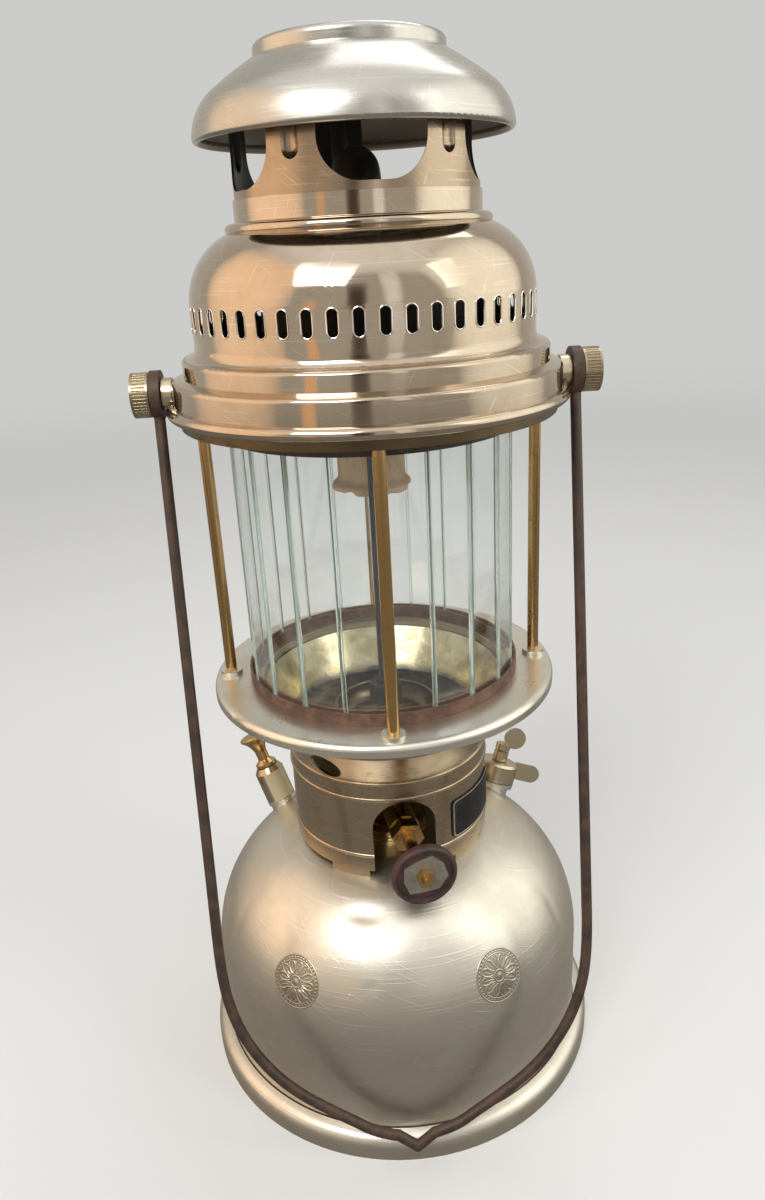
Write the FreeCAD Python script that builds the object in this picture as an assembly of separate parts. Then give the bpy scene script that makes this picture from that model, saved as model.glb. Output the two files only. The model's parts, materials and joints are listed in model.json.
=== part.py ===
import FreeCAD, Part
import math
import os

# A pressurised paraffin lantern: tank on a foot ring, pump, filler, control valve, vaporiser and
# burner, a guard frame that carries the glass slats, a lift-off hood and a wire bail.
# The axis of the lantern is Z, the floor is z = 0, and the hand wheel faces -Y. Millimetres, degrees.

# Fits between pieces
SEAM = 0.05
RUN = 0.10
CLEAR = 0.35

# Foot and tank
FOOT_R = 85.0
FOOT_WALL = 1.0
FOOT_STRAIGHT = 5.0
FOOT_ROUND = 5.5
FOOT_STEP = 6.0
TANK_WALL = 0.8
TANK_SHOULDER_Z = 48.8
TANK_DOME_R = 52.4
TANK_BOTTOM_Z = 10.0
TANK_RIM_Z = 1.5

# Valve, vaporiser and spindle
VALVE_Y = -8.0
NECK_R = 14.0
NECK_BORE = 9.2
NECK_H = 6.0
NECK_SPIGOT = 3.0
VALVE_R = 8.5
VALVE_H = 20.0
VALVE_BORE = 5.0
STEM_R = 4.0
STEM_BORE = 1.5
STEM_H = 37.8
PICKUP_R = 2.5
PICKUP_BORE = 1.6
PICKUP_GAP = 3.0
SPINDLE_AZ = 10.0
SPINDLE_R = 2.5
BOX_R = 6.3
BOX_LENGTH = 22.0
GLAND_FLATS = 11.5
GLAND_LENGTH = 6.0
CRANK_THROW = 1.5
CRANK_PIN_R = 0.9
NEEDLE_LIFT = 3.0
NEEDLE_ROD_R = 1.0
NEEDLE_R = 0.25
VAPORISER_R = 2.2
VAPORISER_RISE = 7.0
UNION_FLATS = 10.6
UNION_H = 7.0
JET_H = 6.0
JET_R = 2.6

# Hand wheel
WHEEL_R = 12.75
WHEEL_THICK = 7.5
WHEEL_FACE = 53.0
WHEEL_RIM = 1.6
WHEEL_RECESS = 1.4
WHEEL_HUB_R = 4.4
WHEEL_HUB_LENGTH = 6.0
WHEEL_STUD_R = 1.75
WHEEL_PLATE_R = 9.2
WHEEL_PLATE_THICK = 0.6
WHEEL_NUT_FLATS = 6.4
WHEEL_NUT_H = 2.6

# Preheating cup and inner tray
CUP_R = 20.0
CUP_FLOOR_R = 16.0
CUP_DROP = 11.0
CUP_H = 7.0
CUP_WALL = 0.7
TRAY_WALL = 0.7
TRAY_FLARE = 10.5
TRAY_DROP = 3.5

# Pump
PUMP_AZ = -123.0
FITTING_INSET = 20.5
PUMP_TILT = 23.0
BARREL_R = 6.0
BARREL_WALL = 0.8
BARREL_SPARE = 20.0
BARREL_STAND = 9.0
TANK_HOLE_DEPTH = 20.0
PUMP_CAP_R = 6.7
PUMP_CAP_BASE = 4.0
PUMP_CAP_H = 15.8
PUMP_CAP_TOP = 2.5
PUMP_ROD_R = 1.5
PUMP_STROKE = 60.0
LEATHER_H = 4.0
CHECK_VALVE_H = 5.0
KNOB_H = 15.5
KNOB_FLARE_R = 6.8
KNOB_NECK_R = 2.7
KNOB_BASE_R = 4.8

# Filler
FILLER_AZ = 123.0
FILLER_TILT = 22.0
FILLER_R = 7.4
FILLER_BORE = 5.5
FILLER_STAND = 10.0
FILLER_DIP = 5.0
FILLER_FLANGE_R = 9.2
FILLER_FLANGE_H = 4.6
FILLER_CAP_R = 9.2
FILLER_SEAL_H = 1.2
FILLER_CAP_ROOF = 2.2
WING_REACH = 20.5
WING_H = 8.0
WING_THICK = 1.6
AIR_R = 3.4
AIR_H = 8.0
AIR_STEM_R = 1.8
AIR_TAB_R = 5.0
AIR_TAB_THICK = 1.4

# Guard frame
PLATE_R = 67.7
PLATE_RISE = 73.4
PLATE_WALL = 0.9
PLATE_ROLL = 2.4
PLATE_LIP = 2.0
PLATE_HOLE_GAP = 4.5
COLLAR_R = 40.5
COLLAR_WALL = 1.0
COLLAR_CONE_H = 31.8
COLLAR_FLARE = 8.5
COLLAR_FLARE_H = 15.2
COLLAR_THROAT = 2.5
COLLAR_FLANGE = 5.0
COLLAR_BEAD_DROPS = (32.4, 39.3, 65.2)
COLLAR_BEAD_H = 1.6
COLLAR_BEAD_OUT = 0.6
COLLAR_FOOT = 3.0
TAB_ARC = 20.0
TAB_AZIMUTHS = (-28.0, 48.0, 138.0, -118.0)
ARCH_WIDTH = 25.0
ARCH_RISE = 20.15
VENT_AZ = -35.0
VENT_DROP = 24.6
VENT_R = 6.4
ROD_R = 2.2
ROD_CIRCLE = 61.2
ROD_COUNT = 4
ROD_COLLAR_R = 4.3
ROD_COLLAR_H = 1.6
ROD_HEAD = 1.2
RING_GAP = 1.0
RING_WALL = 1.0
GLASS_SPACE = 101.4
RING_FLANGE_R = 47.5

# Data plate on the collar
DATA_AZ = 56.0
DATA_ARC = 45.0
DATA_DROP = 55.1
DATA_H = 17.0
DATA_THICK = 0.5

# Glass
SLAT_COUNT = 20
SLAT_APOTHEM = 50.6
SLAT_THICK = 2.0
SLAT_GAP = 0.4
CHANNEL_WALL = 0.8
CHANNEL_H = 4.6

# Burner
BURNER_Y = 14.0
NOZZLE_R = 15.6
NOZZLE_TOP_R = 13.0
NOZZLE_BORE = 9.0
NOZZLE_DROP = 32.5
NOZZLE_H = 18.5
NOZZLE_LIP = 3.0
HEAD_R = 12.0
MIX_R = 8.0
MIX_WALL = 0.8
MIX_BEND_RISE = 69.0
MIX_INLET_GAP = 7.0
CASING_GAP = 0.8
CASING_WALL = 0.8
CASING_TUBE_R = 36.0
CASING_H = 54.0
BRIDGE_WIDTH = 30.0

# Hood
HOOD_WALL = 0.7
HOOD_BAND_R = 69.5
HOOD_RIM_RISE = 5.6
HOOD_BEAD = 2.1
HOOD_BAND_H = 10.5
HOOD_STEP_IN = 4.5
HOOD_STEP_H = 7.1
HOOD_DOME_IN = 5.0
HOOD_WALL_H = 18.3
HOOD_CROWN_R = 45.5
HOOD_CROWN_H = 20.9
HOOD_NECK_R = 42.0
HOOD_NECK_H = 10.1
SLOT_COUNT = 48
SLOT_WIDTH = 3.7
SLOT_H = 8.6
SLOT_DROP = 5.1
SLOT_REACH = 6.0
NOTCH_REACH = 6.0
SLOT_TURN = 4.0
GALLERY_WALL = 0.8
WINDOW_COUNT = 5
WINDOW_TURN = 6.0
WINDOW_ARC = 48.0
WINDOW_SILL = 2.5
WINDOW_RISE = 9.6
WINDOW_ROUND = 12.5
FLUTE_R = 4.0
FLUTE_DEPTH = 1.4
FLUTE_DROP = 6.4
CAP_RIM_R = 53.0
CAP_RISE = 18.9
CAP_BROW_IN = 7.9
CAP_BROW_H = 13.4
CAP_RIM_ROLL = 1.4
CAP_NECK_R = 31.1
CAP_CURVE_H = 21.4
CAP_NECK_H = 5.1
CAP_WALL = 0.8
CAP_DISH = 1.2

# Bail and its pivots
PIVOT_RISE = 4.9
STUD_R = 3.0
STUD_HEAD_R = 4.6
STUD_HEAD = 1.8
BUSH_R = 5.75
BUSH_LENGTH = 3.6
EYE_R = 8.5
EYE_THICK = 3.6
NUT_R = 8.0
NUT_LENGTH = 6.4
NUT_KNURLS = 40
BAIL_WIRE_R = 2.0
BAIL_TAPER = 5.5
BAIL_NOTCH = 5.0
BAIL_NOTCH_HALF = 7.0
BAIL_CONTACT = 30.0
BAIL_ARCH = ((0.0, 84.0), (4.5, 51.0), (24.5, 22.0), (48.0, 6.3))

V = FreeCAD.Vector
ORIGIN = V(0, 0, 0)
X_AXIS = V(1, 0, 0)
Z_AXIS = V(0, 0, 1)

# Heights and places that follow from the driving dimensions
TANK_R = FOOT_R - FOOT_STEP
TANK_FLAT_R = TANK_R - TANK_DOME_R
FITTING_R = TANK_R - FITTING_INSET
TANK_TOP_Z = TANK_SHOULDER_Z + TANK_DOME_R
NECK_TOP_Z = TANK_TOP_Z + NECK_H
SPINDLE_Z = NECK_TOP_Z + BOX_R + CLEAR
VALVE_TOP_Z = NECK_TOP_Z + VALVE_H
STEM_TOP_Z = VALVE_TOP_Z + STEM_H
UNION_TOP_Z = STEM_TOP_Z + UNION_H
CUP_FLOOR_Z = STEM_TOP_Z - CUP_DROP
PLATE_TOP = TANK_TOP_Z + PLATE_RISE
COLLAR_CONE_Z = PLATE_TOP - COLLAR_CONE_H
COLLAR_FLARE_R = COLLAR_R + COLLAR_FLARE
PLATE_HOLE_R = COLLAR_FLARE_R + COLLAR_THROAT - PLATE_HOLE_GAP
COLLAR_BEADS = tuple(PLATE_TOP - drop for drop in COLLAR_BEAD_DROPS)
ARCH_TOP_Z = SPINDLE_Z + ARCH_RISE
VENT_Z = PLATE_TOP - VENT_DROP
DATA_Z = PLATE_TOP - DATA_DROP
RING_FLANGE_Z = PLATE_TOP + GLASS_SPACE
RING_R = HOOD_BAND_R - HOOD_WALL - RING_GAP
HOOD_STEP_R = HOOD_BAND_R - HOOD_STEP_IN
HOOD_DOME_R = HOOD_STEP_R - HOOD_DOME_IN
CASING_R = RING_R - RING_WALL - CASING_GAP
CASING_TOP_Z = RING_FLANGE_Z + CASING_H
VAPORISER_TOP_Z = RING_FLANGE_Z + VAPORISER_RISE
NOZZLE_LOW_Z = RING_FLANGE_Z - NOZZLE_DROP
HOOD_RIM_Z = RING_FLANGE_Z + HOOD_RIM_RISE
HOOD_STEP_Z = HOOD_RIM_Z + HOOD_BAND_H
HOOD_SHOULDER_Z = HOOD_STEP_Z + HOOD_STEP_H
HOOD_DOME_Z = HOOD_SHOULDER_Z + HOOD_WALL_H
HOOD_CROWN_Z = HOOD_DOME_Z + HOOD_CROWN_H
HOOD_NECK_TOP = HOOD_CROWN_Z + HOOD_NECK_H
SLOT_Z = HOOD_DOME_Z - SLOT_DROP
PIVOT_Z = HOOD_RIM_Z + PIVOT_RISE
WINDOW_LOW_Z = HOOD_NECK_TOP + WINDOW_SILL
CAP_RIM_Z = HOOD_NECK_TOP + CAP_RISE
WINDOW_TOP_Z = CAP_RIM_Z + WINDOW_RISE
FLUTE_LOW_Z = CAP_RIM_Z - FLUTE_DROP
CAP_NECK_Z = CAP_RIM_Z + CAP_CURVE_H
CAP_TOP_Z = CAP_NECK_Z + CAP_NECK_H
JET_TOP_Z = VAPORISER_TOP_Z + JET_H
MIX_INLET_Z = JET_TOP_Z + MIX_INLET_GAP
MIX_BEND_Z = RING_FLANGE_Z + MIX_BEND_RISE
VALVE_POINT = V(0, VALVE_Y, 0)
BURNER_POINT = V(0, BURNER_Y, 0)
GLASS_RING_Z = PLATE_TOP + SEAM
SLAT_LOW_Z = GLASS_RING_Z + CHANNEL_WALL + SEAM
GLASS_TOP_Z = RING_FLANGE_Z - CLEAR
SLAT_TOP_Z = GLASS_TOP_Z - CHANNEL_WALL - CLEAR
RING_TOP_Z = HOOD_STEP_Z - HOOD_WALL - CLEAR
CASING_Z = RING_FLANGE_Z + RING_WALL + SEAM
BUSH_FROM = HOOD_BAND_R + CLEAR
EYE_FROM = BUSH_FROM + BUSH_LENGTH + CLEAR
NUT_FROM = EYE_FROM + EYE_THICK + CLEAR
STUD_END = NUT_FROM + NUT_LENGTH + 0.6
EYE_X = EYE_FROM + EYE_THICK / 2
BARREL_DEPTH = PUMP_STROKE + BARREL_SPARE


def dome_z(radius):
    """Height of the tank's outer surface at a radius on its dome."""
    across = max(0.0, radius - TANK_FLAT_R)
    return TANK_SHOULDER_Z + math.sqrt(TANK_DOME_R ** 2 - across ** 2)


def out(azimuth, radius=1.0, z=0.0):
    """Point at an azimuth from the front (-Y), turning towards +X."""
    a = math.radians(azimuth)
    return V(radius * math.sin(a), -radius * math.cos(a), z)


def outline(*steps):
    """Open wire in the XZ half plane: a step is a point, or a middle and an end point for an arc."""
    here = steps[0]
    edges = []
    for step in steps[1:]:
        start = V(here[0], 0, here[1])
        if isinstance(step[0], tuple):
            middle, here = step
            edges.append(Part.Arc(start, V(middle[0], 0, middle[1]), V(here[0], 0, here[1])).toShape())
        else:
            here = step
            edges.append(Part.makeLine(start, V(here[0], 0, here[1])))
    return Part.Wire(edges)


def turned(*steps):
    """Solid of revolution about Z from a closed outline."""
    face = Part.Face(outline(*steps, steps[0]))
    return face.revolve(ORIGIN, Z_AXIS, 360)


def sheet(wire, wall):
    """Turned sheet metal: the wire is its outer face, walked upwards, and the wall lies inside it."""
    face = wire.makeOffset2D(wall, 0, True, True)
    return face.revolve(ORIGIN, Z_AXIS, 360)


def rod(radius, low, high, point=ORIGIN, bore=0.0):
    """Upright cylinder between two heights, with an optional bore through it."""
    body = Part.makeCylinder(radius, high - low, V(point.x, point.y, low))
    if bore:
        body = body.cut(Part.makeCylinder(bore, high - low + 2, V(point.x, point.y, low - 1)))
    return body


def hexagon(flats, low, high, bore=0.0):
    """Hexagonal prism on the Z axis."""
    corner = flats / math.sqrt(3)
    points = [V(corner * math.cos(k * math.pi / 3), corner * math.sin(k * math.pi / 3), low) for k in range(7)]
    body = Part.Face(Part.makePolygon(points)).extrude(V(0, 0, high - low))
    if bore:
        body = body.cut(rod(bore, low - 1, high + 1))
    return body


def torus(ring, tube, z):
    """Round bead about the Z axis."""
    return Part.makeTorus(ring, tube, V(0, 0, z))


def laid(shape, point, direction):
    """Copy of a shape modelled along Z, laid along a direction from a point."""
    copy = shape.copy()
    copy.Placement = FreeCAD.Placement(point, FreeCAD.Rotation(Z_AXIS, direction))
    return copy


def around(shape, count, first=0.0):
    """Copies of a shape turned evenly about Z."""
    copies = []
    for k in range(count):
        copy = shape.copy()
        copy.rotate(ORIGIN, Z_AXIS, first + k * 360.0 / count)
        copies.append(copy)
    return copies


def beside(shape):
    """The shape at +X and its half-turned twin at -X."""
    return Part.makeCompound(around(shape, 2))


def tilted(azimuth, tilt):
    """Direction of a tank fitting that leans outwards."""
    t = math.radians(tilt)
    return out(azimuth, math.sin(t)) + V(0, 0, math.cos(t))


SPINDLE_POINT = V(0, VALVE_Y, SPINDLE_Z)
SPINDLE_DIR = out(SPINDLE_AZ)
PUMP_POINT = out(PUMP_AZ, FITTING_R, dome_z(FITTING_R))
PUMP_DIR = tilted(PUMP_AZ, PUMP_TILT)
FILLER_POINT = out(FILLER_AZ, FITTING_R, dome_z(FITTING_R))
FILLER_DIR = tilted(FILLER_AZ, FILLER_TILT)


# Tank

def foot_ring():
    inner = TANK_R + SEAM
    crown = FOOT_STRAIGHT + FOOT_ROUND
    turn = FOOT_ROUND * math.sqrt(0.5)
    centre = FOOT_R - FOOT_ROUND
    wire = outline((inner, 0), (FOOT_R, 0), (FOOT_R, FOOT_STRAIGHT),
                   ((centre + turn, FOOT_STRAIGHT + turn), (centre, crown)))
    return sheet(wire, FOOT_WALL)


def tank_shell():
    inner = TANK_R - TANK_WALL
    under = TANK_TOP_Z - TANK_WALL
    turn = TANK_DOME_R * math.sqrt(0.5)
    inner_turn = (TANK_DOME_R - TANK_WALL) * math.sqrt(0.5)
    shell = turned((inner, TANK_RIM_Z), (TANK_R, TANK_RIM_Z), (TANK_R, TANK_SHOULDER_Z),
                   ((TANK_FLAT_R + turn, TANK_SHOULDER_Z + turn), (TANK_FLAT_R, TANK_TOP_Z)),
                   (0, TANK_TOP_Z), (0, under), (TANK_FLAT_R, under),
                   ((TANK_FLAT_R + inner_turn, TANK_SHOULDER_Z + inner_turn), (inner, TANK_SHOULDER_Z)))
    mouth = rod(NECK_R - 2, TANK_TOP_Z - 5, TANK_TOP_Z + 5, VALVE_POINT)
    depth = TANK_HOLE_DEPTH
    pump_hole = laid(rod(BARREL_R + SEAM, -depth, depth), PUMP_POINT, PUMP_DIR)
    filler_hole = laid(rod(FILLER_R + SEAM, -depth, depth), FILLER_POINT, FILLER_DIR)
    return shell.cut(mouth).cut(pump_hole).cut(filler_hole)


def tank_bottom():
    rim = TANK_R - TANK_WALL - SEAM
    bend = 3.0
    turn = bend * math.sqrt(0.5)
    wire = outline((rim, TANK_RIM_Z), (rim, TANK_BOTTOM_Z - bend),
                   ((rim - bend + turn, TANK_BOTTOM_Z - bend + turn), (rim - bend, TANK_BOTTOM_Z)),
                   (0, TANK_BOTTOM_Z))
    return sheet(wire, TANK_WALL)


def tank_neck():
    spigot = NECK_R - 2 - SEAM
    ring = turned((NECK_BORE, TANK_TOP_Z - NECK_SPIGOT), (spigot, TANK_TOP_Z - NECK_SPIGOT),
                  (spigot, TANK_TOP_Z), (NECK_R, TANK_TOP_Z), (NECK_R, NECK_TOP_Z), (NECK_BORE, NECK_TOP_Z))
    groove = NECK_H / 8
    for k in (1, 2, 3):
        ring = ring.cut(torus(NECK_R + groove * 0.6, groove, TANK_TOP_Z + k * NECK_H / 4))
    ring.translate(VALVE_POINT)
    return ring


# Control valve and vaporiser

def valve_body():
    spigot = NECK_BORE - SEAM
    body = turned((0, NECK_TOP_Z - NECK_H), (spigot, NECK_TOP_Z - NECK_H), (spigot, NECK_TOP_Z),
                  (NECK_R - 2, NECK_TOP_Z), (NECK_R - 2, NECK_TOP_Z + 2), (VALVE_R, NECK_TOP_Z + 2.5),
                  (VALVE_R, VALVE_TOP_Z - 2), (STEM_R + 1, VALVE_TOP_Z), (STEM_R, VALVE_TOP_Z),
                  (STEM_R, STEM_TOP_Z), (0, STEM_TOP_Z))
    body.translate(VALVE_POINT)
    branch = laid(rod(BOX_R, 0, BOX_LENGTH), SPINDLE_POINT, SPINDLE_DIR)
    body = body.fuse(branch)
    chamber_low = SPINDLE_Z - CRANK_THROW - NEEDLE_LIFT
    chamber = rod(VALVE_BORE, chamber_low, VALVE_TOP_Z - 3, VALVE_POINT)
    bore = rod(STEM_BORE, VALVE_TOP_Z - 4, STEM_TOP_Z + 1, VALVE_POINT)
    feed = rod(PICKUP_BORE, NECK_TOP_Z - NECK_H - 1, chamber_low + 1, VALVE_POINT)
    pickup_seat = rod(PICKUP_R + SEAM, NECK_TOP_Z - NECK_H - 1, NECK_TOP_Z - NECK_H / 2, VALVE_POINT)
    spindle_bore = laid(rod(SPINDLE_R + RUN, 0, BOX_LENGTH + 1), SPINDLE_POINT, SPINDLE_DIR)
    packing = laid(rod(BOX_R - 2.5, BOX_LENGTH - 6, BOX_LENGTH + 1), SPINDLE_POINT, SPINDLE_DIR)
    return body.cut(chamber).cut(bore).cut(feed).cut(pickup_seat).cut(spindle_bore).cut(packing)


def pickup_tube():
    low = TANK_BOTTOM_Z + PICKUP_GAP
    return rod(PICKUP_R, low, NECK_TOP_Z - NECK_H / 2 - SEAM, VALVE_POINT, PICKUP_BORE)


def gland_packing():
    ring = rod(BOX_R - 2.5 - SEAM, BOX_LENGTH - 6 + SEAM, BOX_LENGTH - 2.5, bore=SPINDLE_R + RUN)
    return laid(ring, SPINDLE_POINT, SPINDLE_DIR)


def gland_nut():
    head = hexagon(GLAND_FLATS, BOX_LENGTH + SEAM, BOX_LENGTH + GLAND_LENGTH)
    nose = rod(BOX_R - 2.5 - SEAM, BOX_LENGTH - 2.5 + SEAM, BOX_LENGTH + SEAM)
    collar = rod(GLAND_FLATS * 0.42, BOX_LENGTH + GLAND_LENGTH, BOX_LENGTH + GLAND_LENGTH + 1.2)
    nut = head.fuse(nose).fuse(collar)
    nut = nut.cut(rod(SPINDLE_R + RUN, BOX_LENGTH - 8, BOX_LENGTH + GLAND_LENGTH + 4))
    return laid(nut, SPINDLE_POINT, SPINDLE_DIR)


def vaporiser_tube():
    foot = rod(STEM_R - 0.4, STEM_TOP_Z + SEAM, STEM_TOP_Z + 1.5, VALVE_POINT)
    tube = rod(VAPORISER_R, STEM_TOP_Z + SEAM, VAPORISER_TOP_Z, VALVE_POINT)
    return foot.fuse(tube).cut(rod(STEM_BORE, STEM_TOP_Z - 1, VAPORISER_TOP_Z + 1, VALVE_POINT))


def vaporiser_union():
    skirt_low = STEM_TOP_Z - 3
    nut = hexagon(UNION_FLATS, skirt_low, UNION_TOP_Z - 2)
    nut = nut.fuse(rod(VAPORISER_R + 1.4, UNION_TOP_Z - 2, UNION_TOP_Z))
    nut = nut.cut(rod(STEM_R + SEAM, skirt_low - 1, STEM_TOP_Z + 1.6))
    nut = nut.cut(rod(VAPORISER_R + SEAM, skirt_low, UNION_TOP_Z + 1))
    nut.translate(VALVE_POINT)
    return nut


def jet_nipple():
    body = hexagon(JET_R * 2, VAPORISER_TOP_Z + SEAM, JET_TOP_Z - 2)
    body = body.fuse(rod(JET_R * 0.6, JET_TOP_Z - 2, JET_TOP_Z))
    body = body.cut(rod(STEM_BORE, VAPORISER_TOP_Z - 1, VAPORISER_TOP_Z + 2))
    body = body.cut(rod(NEEDLE_R + RUN, VAPORISER_TOP_Z, JET_TOP_Z + 1))
    body.translate(VALVE_POINT)
    return body


def preheat_cup():
    top = CUP_FLOOR_Z + CUP_H
    wire = outline((STEM_R + SEAM, CUP_FLOOR_Z), (CUP_FLOOR_R, CUP_FLOOR_Z),
                   ((CUP_R - 1.2, CUP_FLOOR_Z + CUP_H * 0.35), (CUP_R, top)))
    cup = sheet(wire, CUP_WALL).fuse(torus(CUP_R - CUP_WALL / 2, CUP_WALL, top))
    boss = rod(STEM_R + 1.6, CUP_FLOOR_Z, CUP_FLOOR_Z + 4, bore=STEM_R + SEAM)
    cup = cup.fuse(boss)
    cup.translate(VALVE_POINT)
    return cup


def inner_tray():
    top = CUP_FLOOR_Z - SEAM
    low = top - TRAY_WALL
    floor = PLATE_HOLE_R - TRAY_FLARE
    rim = PLATE_HOLE_R - CLEAR
    lip = PLATE_TOP - TRAY_DROP
    tray = turned((0, low), (floor, low), (rim, lip), (rim - TRAY_WALL, lip), (floor - TRAY_WALL / 2, top), (0, top))
    return tray.cut(rod(STEM_R + CLEAR, top - 5, top + 5, VALVE_POINT))


# Needle and its crank, hand wheel

def needle_rod():
    yoke_half = CRANK_THROW + CRANK_PIN_R + 0.5
    slot_half = CRANK_PIN_R + 0.45 * CRANK_THROW
    centre = SPINDLE_Z - CRANK_THROW
    yoke = Part.makeBox(2 * yoke_half + 2, 1.6, 2 * slot_half + 2, V(-yoke_half - 1, -0.8, centre - slot_half - 1))
    slot = Part.makeBox(2 * yoke_half, 4, 2 * slot_half, V(-yoke_half, -2, centre - slot_half))
    yoke = yoke.cut(slot)
    yoke.rotate(ORIGIN, Z_AXIS, SPINDLE_AZ)
    shank = rod(NEEDLE_ROD_R, centre + slot_half + 0.5, VAPORISER_TOP_Z - NEEDLE_LIFT - 1)
    whole = yoke.fuse(shank)
    whole.translate(VALVE_POINT)
    return whole


def cleaning_needle():
    low = VAPORISER_TOP_Z - NEEDLE_LIFT - 1
    return rod(NEEDLE_R, low, low + NEEDLE_LIFT, VALVE_POINT)


def spindle():
    start = 2.0
    shaft = rod(SPINDLE_R, start, WHEEL_FACE - WHEEL_RECESS - WHEEL_THICK + 2)
    shaft = shaft.fuse(rod(WHEEL_STUD_R, WHEEL_FACE - WHEEL_THICK, WHEEL_FACE + WHEEL_NUT_H + 1.2))
    below = SPINDLE_DIR * CRANK_THROW
    pin = Part.makeCylinder(CRANK_PIN_R, 3.0, V(below.x, below.y, start - 2.6))
    return laid(shaft.fuse(pin), SPINDLE_POINT, SPINDLE_DIR)


def hand_wheel():
    back = WHEEL_FACE - WHEEL_THICK
    rim_inner = WHEEL_R - WHEEL_RIM
    floor = WHEEL_FACE - WHEEL_RECESS
    body = turned((0, back - WHEEL_HUB_LENGTH), (WHEEL_HUB_R, back - WHEEL_HUB_LENGTH),
                  (WHEEL_HUB_R, back), (WHEEL_R - 2.5, back + WHEEL_THICK * 0.35),
                  ((WHEEL_R, back + WHEEL_THICK * 0.7), (WHEEL_R - 0.8, WHEEL_FACE)),
                  (rim_inner, WHEEL_FACE), (rim_inner - 0.6, floor), (0, floor))
    bore = rod(SPINDLE_R + SEAM, back - WHEEL_HUB_LENGTH - 1, floor - WHEEL_THICK + 2 + SEAM)
    body = body.cut(bore).cut(rod(WHEEL_STUD_R + SEAM, back - WHEEL_HUB_LENGTH, WHEEL_FACE + 1))
    return laid(body, SPINDLE_POINT, SPINDLE_DIR)


def wheel_plate():
    low = WHEEL_FACE - WHEEL_RECESS + SEAM
    reach = (1.0, 0.93, 0.97, 0.82, 0.99, 0.9, 1.0, 0.78, 0.94)
    points = []
    for k, share in enumerate(reach):
        a = 2 * math.pi * k / len(reach)
        points.append(V(WHEEL_PLATE_R * share * math.cos(a), WHEEL_PLATE_R * share * math.sin(a), low))
    plate = Part.Face(Part.makePolygon(points + points[:1])).extrude(V(0, 0, WHEEL_PLATE_THICK))
    plate = plate.cut(rod(WHEEL_STUD_R + SEAM, low - 1, low + 2))
    return laid(plate, SPINDLE_POINT, SPINDLE_DIR)


def wheel_nut():
    low = WHEEL_FACE - WHEEL_RECESS + WHEEL_PLATE_THICK + 2 * SEAM
    return laid(hexagon(WHEEL_NUT_FLATS, low, low + WHEEL_NUT_H, WHEEL_STUD_R + SEAM), SPINDLE_POINT, SPINDLE_DIR)


# Pump

def pump_barrel():
    low = -BARREL_DEPTH
    barrel = rod(BARREL_R, low, BARREL_STAND, bore=BARREL_R - BARREL_WALL)
    flange = rod(PUMP_CAP_R, PUMP_CAP_BASE - 2.2, PUMP_CAP_BASE - 0.4, bore=BARREL_R - BARREL_WALL)
    return laid(barrel.fuse(flange), PUMP_POINT, PUMP_DIR)


def pump_check_valve():
    low = -BARREL_DEPTH
    plug = rod(BARREL_R - BARREL_WALL - SEAM, low, low + CHECK_VALVE_H)
    tail = hexagon(BARREL_R, low - 4, low)
    return laid(plug.fuse(tail), PUMP_POINT, PUMP_DIR)


def pump_cap():
    top = PUMP_CAP_BASE + PUMP_CAP_H
    body = turned((0, PUMP_CAP_BASE), (PUMP_CAP_R, PUMP_CAP_BASE), (PUMP_CAP_R, top - 2.4),
                  (PUMP_CAP_R - 1.5, top), (0, top))
    body = body.cut(rod(BARREL_R + SEAM, PUMP_CAP_BASE - 1, BARREL_STAND + SEAM))
    body = body.cut(rod(BARREL_R - BARREL_WALL, BARREL_STAND - 1, top - PUMP_CAP_TOP))
    body = body.cut(rod(PUMP_ROD_R + RUN, PUMP_CAP_BASE, top + 1))
    return laid(body, PUMP_POINT, PUMP_DIR)


def pump_levels():
    """Lowest level of the plunger, and the level where the knob starts."""
    low = -BARREL_DEPTH + CHECK_VALVE_H + CLEAR
    return low, PUMP_CAP_BASE + PUMP_CAP_H + CLEAR


def pump_rod():
    low, knob = pump_levels()
    return laid(rod(PUMP_ROD_R, low, knob + KNOB_H * 0.6), PUMP_POINT, PUMP_DIR)


def pump_leather():
    low, knob = pump_levels()
    bore = BARREL_R - BARREL_WALL
    cup = turned((PUMP_ROD_R + SEAM, low + 2), (bore - 1, low + 2), (bore - 1, low + 0.5),
                 (bore - RUN, low + 0.5), (bore - RUN, low + LEATHER_H), (PUMP_ROD_R + SEAM, low + LEATHER_H))
    return laid(cup, PUMP_POINT, PUMP_DIR)


def pump_washers():
    low, knob = pump_levels()
    radius = BARREL_R - BARREL_WALL - 1.3
    below = rod(radius, low + 0.9, low + 2 - SEAM, bore=PUMP_ROD_R + SEAM)
    above = rod(radius, low + LEATHER_H + SEAM, low + LEATHER_H + 1.2, bore=PUMP_ROD_R + SEAM)
    return laid(Part.makeCompound([below, above]), PUMP_POINT, PUMP_DIR)


def pump_knob():
    low, knob = pump_levels()
    top = knob + KNOB_H
    body = turned((0, knob), (KNOB_BASE_R, knob), (KNOB_BASE_R, knob + 1.4),
                  (KNOB_NECK_R, knob + 3.2), (KNOB_NECK_R, knob + KNOB_H * 0.45),
                  ((KNOB_FLARE_R * 0.62, knob + KNOB_H * 0.72), (KNOB_FLARE_R, top - 1.4)),
                  (KNOB_FLARE_R, top - 0.7), (KNOB_FLARE_R - 1, top), (0, top))
    body = body.cut(rod(PUMP_ROD_R + SEAM, knob - 1, knob + KNOB_H * 0.6 + SEAM))
    return laid(body, PUMP_POINT, PUMP_DIR)


# Filler

def filler_neck():
    neck = rod(FILLER_R, -FILLER_DIP, FILLER_STAND, bore=FILLER_BORE)
    flange = rod(FILLER_FLANGE_R, FILLER_FLANGE_H - 2.4, FILLER_FLANGE_H, bore=FILLER_BORE)
    return laid(neck.fuse(flange), FILLER_POINT, FILLER_DIR)


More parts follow.
